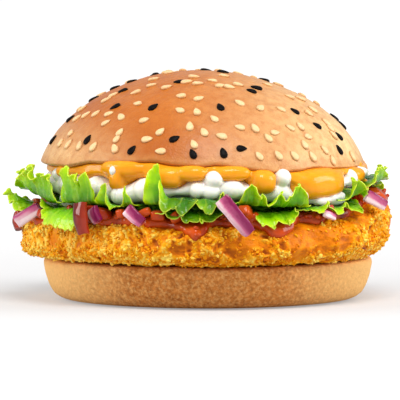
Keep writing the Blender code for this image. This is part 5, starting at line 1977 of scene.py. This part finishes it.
    def middle(self) -> Piece:
        """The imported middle, a low crumpled drum whose side shows as folded edges.

        Returns:
            The piece.
        """
        stack = self.stack
        angle = ring(self.middle_columns)[None, :]
        share = np.linspace(0, 1, 26)[:, None]
        fold = 0.5 * np.sin(np.radians(angle * 44) + 5 * share)
        fold = fold + 0.5 * np.sin(np.radians(angle * 71) - 7 * share)
        radius = self.middle_radius + 1.1 * fold - 3.0 * np.abs(2 * share - 1) ** 6
        ceiling = stack.mayo_base(radius, angle)
        floor = stack.over_patty(radius, angle, stack.gap + stack.salsa_depth)
        height = ceiling + (floor - ceiling) * share
        # Painted shade: lighter where the folds stand out, darker in their hollows.
        margin = 0.25 + 0.3 * fold + 0 * share
        flat = np.array([10.0, 30.0])[:, None] + 0 * angle
        top = polar_grid(flat, stack.mayo_base(flat, angle), angle[0])
        foot = polar_grid(flat[::-1], stack.over_patty(flat[::-1], angle, 2.3), angle[0])
        grid = np.concatenate([top, polar_grid(radius, height, angle[0]), foot])
        quiet = np.zeros((2, angle.shape[1]))
        none = np.zeros(grid.shape[:2])
        marks = {"margin": np.concatenate([quiet, np.clip(margin, 0, 1), quiet]), "vein": none, "dark": none}
        return dress(shell("leaf_middle", grid, marks), LEAF_FINISH, ["lettuce_bed"])

    def build(self) -> None:
        """Makes the middle and every leaf."""
        self.middle()
        for tier in Tier:
            for number, span in enumerate(self.spans[tier], 1):
                self.leaf(tier, number, span)


# ---- cut vegetables ----


@dataclass
class Chunks:
    """Cut pieces of onion and tomato.

    A row is: name, angle, radius, height, size, turn in degrees and curve, as the solid has them. A tint
    raises how much purple skin a piece of onion shows.
    """

    onion_rows: Rows = (
        ("onion_1", -71.5, 56.8, 26.5, (8.6, 3.9, 2.8), (8, -32, -20), 0.5),
        ("onion_2", -38.0, 54.4, 28.2, (4.6, 4.0, 2.0), (12, 60, -38), 0.3),
        ("onion_3", -23.2, 55.0, 28.4, (6.6, 3.8, 2.0), (-8, 38, -23), 0.3),
        ("onion_4", 8.4, 58.6, 28.8, (13.5, 4.6, 2.4), (6, 50, 8), 1.2),
        ("onion_5", 66.0, 55.4, 31.1, (7.2, 3.6, 2.6), (0, 27, 26), 0.3),
        ("onion_6", 42.4, 54.4, 27.9, (4.4, 2.0, 1.6), (-10, 20, 42), 0.2),
        ("onion_7", 118.0, 56.8, 30.2, (9.0, 4.2, 2.4), (5, 20, 118), 0.8),
        ("onion_8", 156.0, 55.2, 28.2, (8.0, 4.2, 2.4), (0, -26, 156), 0.6),
        ("onion_9", 196.0, 54.8, 28.2, (8.5, 4.2, 2.4), (8, 22, 196), 0.7),
        ("onion_10", 234.0, 55.2, 28.0, (8.0, 4.2, 2.4), (-6, -24, 234), 0.5),
    )
    tomato_rows: Rows = (
        ("tomato_1", -40.8, 57.6, 27.2, (9.4, 5.2, 3.4), (4, 82, -42), 0.6),
        ("tomato_2", -82.5, 57.8, 23.8, (5.4, 3.6, 2.8), (0, 62, -80), 0.4),
    )
    tints: dict[str, float] = field(
        default_factory=lambda: {
            "onion_1": -0.08, "onion_2": 0.25, "onion_3": 0.3,
            "onion_4": 0.28, "onion_5": 0.08, "onion_6": -0.05,
        }
    )
    columns: int = 64
    rows: int = 34

    def chunk(
        self, row: tuple, blunt: float, cut: float, mark: str, tint: float, finish: Finish
    ) -> Piece:
        """A blunt block that tapers and curves: a blunt ellipse carried along its length.

        Args:
            row: The piece's row.
            blunt: How square the section is.
            cut: How flat the two ends are cut.
            mark: Name of the mark that runs from one long side to the other.
            tint: How far the mark is raised all over.
            finish: Its finish.

        Returns:
            The dressed piece.
        """
        name, angle, radius, height, size, turn, curve = row
        along = np.sin(np.linspace(-np.pi / 2, np.pi / 2, self.rows))[:, None]
        ends = np.array([0.35, 0.7, 0.92])[:, None]
        around_it = np.linspace(0, 2 * np.pi, self.columns, endpoint=False)[None, :]
        section = np.maximum((1 - np.abs(along) ** cut) ** (1 / blunt), 0.92)
        section = np.concatenate([ends, section, ends[::-1]])
        along = np.concatenate([0 * ends - 1, along, 0 * ends + 1])
        power = 2 / blunt
        deep = np.sign(np.cos(around_it)) * np.abs(np.cos(around_it)) ** power * section
        across = np.sign(np.sin(around_it)) * np.abs(np.sin(around_it)) ** power * section
        slim = 1.0 - 0.16 * along**2
        local = np.stack(
            [
                0.5 * size[0] * along + 0 * across,
                curve * along**2 - 0.5 * size[2] * slim * deep,
                0.5 * size[1] * (1.0 - 0.08 * along) * across,
            ],
            axis=-1,
        )
        seed = sum(map(ord, name))
        local = local * (1 + 0.06 * soft_noise(local + seed, 1.9, seed))[..., None]
        spin = np.array(Euler([math.radians(value) for value in turn], "XYZ").to_matrix())
        points = local @ spin.T + np.array([*plan(radius, angle), height])
        streaks = soft_noise(local * (0.3, 2.0, 2.0) + seed, 1.2, seed)
        layers = 0.07 * np.sin(7 * across + 1.5) + 0.05 * streaks
        side = np.clip(0.5 + 0.5 * across + 0.12 * along + layers + tint, 0, 1)
        item = shell(f"{name}_piece", points[::-1], {mark: side[::-1]})
        return dress(item, finish, [name])

    def build(self) -> None:
        """Makes every piece."""
        for row in self.onion_rows:
            self.chunk(row, 5.0, 12.0, "skin", self.tints.get(row[0], 0.1), ONION_FINISH)
        for row in self.tomato_rows:
            self.chunk(row, 2.2, 2.4, "pulp", -0.3, TOMATO_FINISH)


# ---- studio ----


@dataclass
class Studio:
    """White table, soft lamps and the camera."""

    distance: float = 3.0
    elevation: float = 4.0
    view_width: float = 0.1208
    centre: tuple[float, float, float] = (-0.0021, 0.0, 0.0297)
    ambient: float = 0.5
    table_reach: float = 60000.0
    table_near: float = 0.32
    table_far: float = 0.78
    table_fade: tuple[float, float] = (0.06, 0.5)
    table_lit: float = 0.12
    table_drop: float = 0.05
    aim_height: float = 0.035
    sensor: float = 36.0
    lamps: Sequence[tuple] = (
        ("key", (0.12, -0.5, 0.8), 0.45, 6.4, (1.0, 0.98, 0.95)),
        ("left_edge", (-0.6, -0.12, 0.24), 0.35, 2.2, (1.0, 0.98, 0.96)),
        ("right_edge", (0.6, -0.1, 0.28), 0.35, 2.4, (1.0, 0.98, 0.96)),
    )

    def table(self) -> None:
        """A wide floor at the heel's foot, brighter to the camera far from the burger."""
        far, low = self.table_reach, -self.table_drop
        corners = np.array([(-far, -far, low), (far, -far, low), (far, far, low), (-far, far, low)])
        floor = write_mesh("table", corners, np.array([[0, 1, 2, 3]]))
        material = FLOOR_FINISH.make()
        shader = material.node_tree.nodes["Principled BSDF"]
        shader.inputs["Emission Color"].default_value = (1.0, 1.0, 1.0, 1.0)
        bench = Bench(material.node_tree)
        away = bench.add("ShaderNodeVectorMath", {0: bench.place()}, operation="LENGTH").outputs["Value"]
        glow = bench.span(away, *self.table_fade, self.table_far, self.table_near)
        seen = bench.add("ShaderNodeLightPath").outputs["Is Camera Ray"]
        strength = bench.span(seen, 0.0, 1.0, glow, self.table_lit)
        material.node_tree.links.new(strength, shader.inputs["Emission Strength"])
        floor.data.materials.append(material)

    def lamp(
        self, name: str, place: tuple[float, float, float], size: float, power: float, colour: Colour
    ) -> None:
        """A square soft lamp that faces the burger.

        Args:
            name: Its name.
            place: Where it hangs.
            size: Side of its square.
            power: Watts.
            colour: Its colour.
        """
        data = bpy.data.lights.new(name, "AREA")
        data.size, data.energy, data.color = size, power, colour
        item = bpy.data.objects.new(name, data)
        item.location = place
        aim = Vector((0, 0, self.aim_height)) - Vector(place)
        item.rotation_euler = aim.to_track_quat("-Z", "Y").to_euler()
        bpy.context.scene.collection.objects.link(item)

    def sky(self) -> None:
        """Even white surroundings that light the burger less than they look."""
        world = bpy.data.worlds.new("white_room")
        world.use_nodes = True
        tree = world.node_tree
        bench = Bench(tree)
        seen = bench.add("ShaderNodeLightPath").outputs["Is Camera Ray"]
        strength = bench.span(seen, 0.0, 1.0, 1.0, self.ambient)
        ground = tree.nodes["Background"]
        ground.inputs["Color"].default_value = (1.0, 1.0, 1.0, 1.0)
        tree.links.new(strength, ground.inputs["Strength"])
        bpy.context.scene.world = world

    def camera(self) -> None:
        """A long lens three metres away, a little above the table."""
        data = bpy.data.cameras.new("camera")
        data.sensor_width = self.sensor
        data.lens = self.sensor * self.distance / self.view_width
        data.clip_start, data.clip_end = 0.05, 20.0
        item = bpy.data.objects.new("camera", data)
        tilt = math.radians(self.elevation)
        back = Vector((0, -math.cos(tilt), math.sin(tilt)))
        item.location = Vector(self.centre) + back * self.distance
        item.rotation_euler = (math.radians(90 - self.elevation), 0, 0)
        bpy.context.scene.collection.objects.link(item)
        bpy.context.scene.camera = item

    def build(self) -> None:
        """Sets up the whole studio."""
        self.table()
        for row in self.lamps:
            self.lamp(*row)
        self.sky()
        self.camera()
        bpy.context.scene.view_settings.view_transform = "Standard"


def main() -> None:
    """Builds every piece in order."""
    logging.basicConfig(level=logging.INFO, format="%(message)s")
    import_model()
    stack = Stack()
    Studio().build()
    layers = (Heel(stack), Patty(stack), Salsa(stack), Lettuce(stack))
    for part in (*layers, Chunks(), Sauces(stack), Crown(stack)):
        LOG.info("building %s", type(part).__name__)
        part.build()


if __name__ == "__main__":
    main()
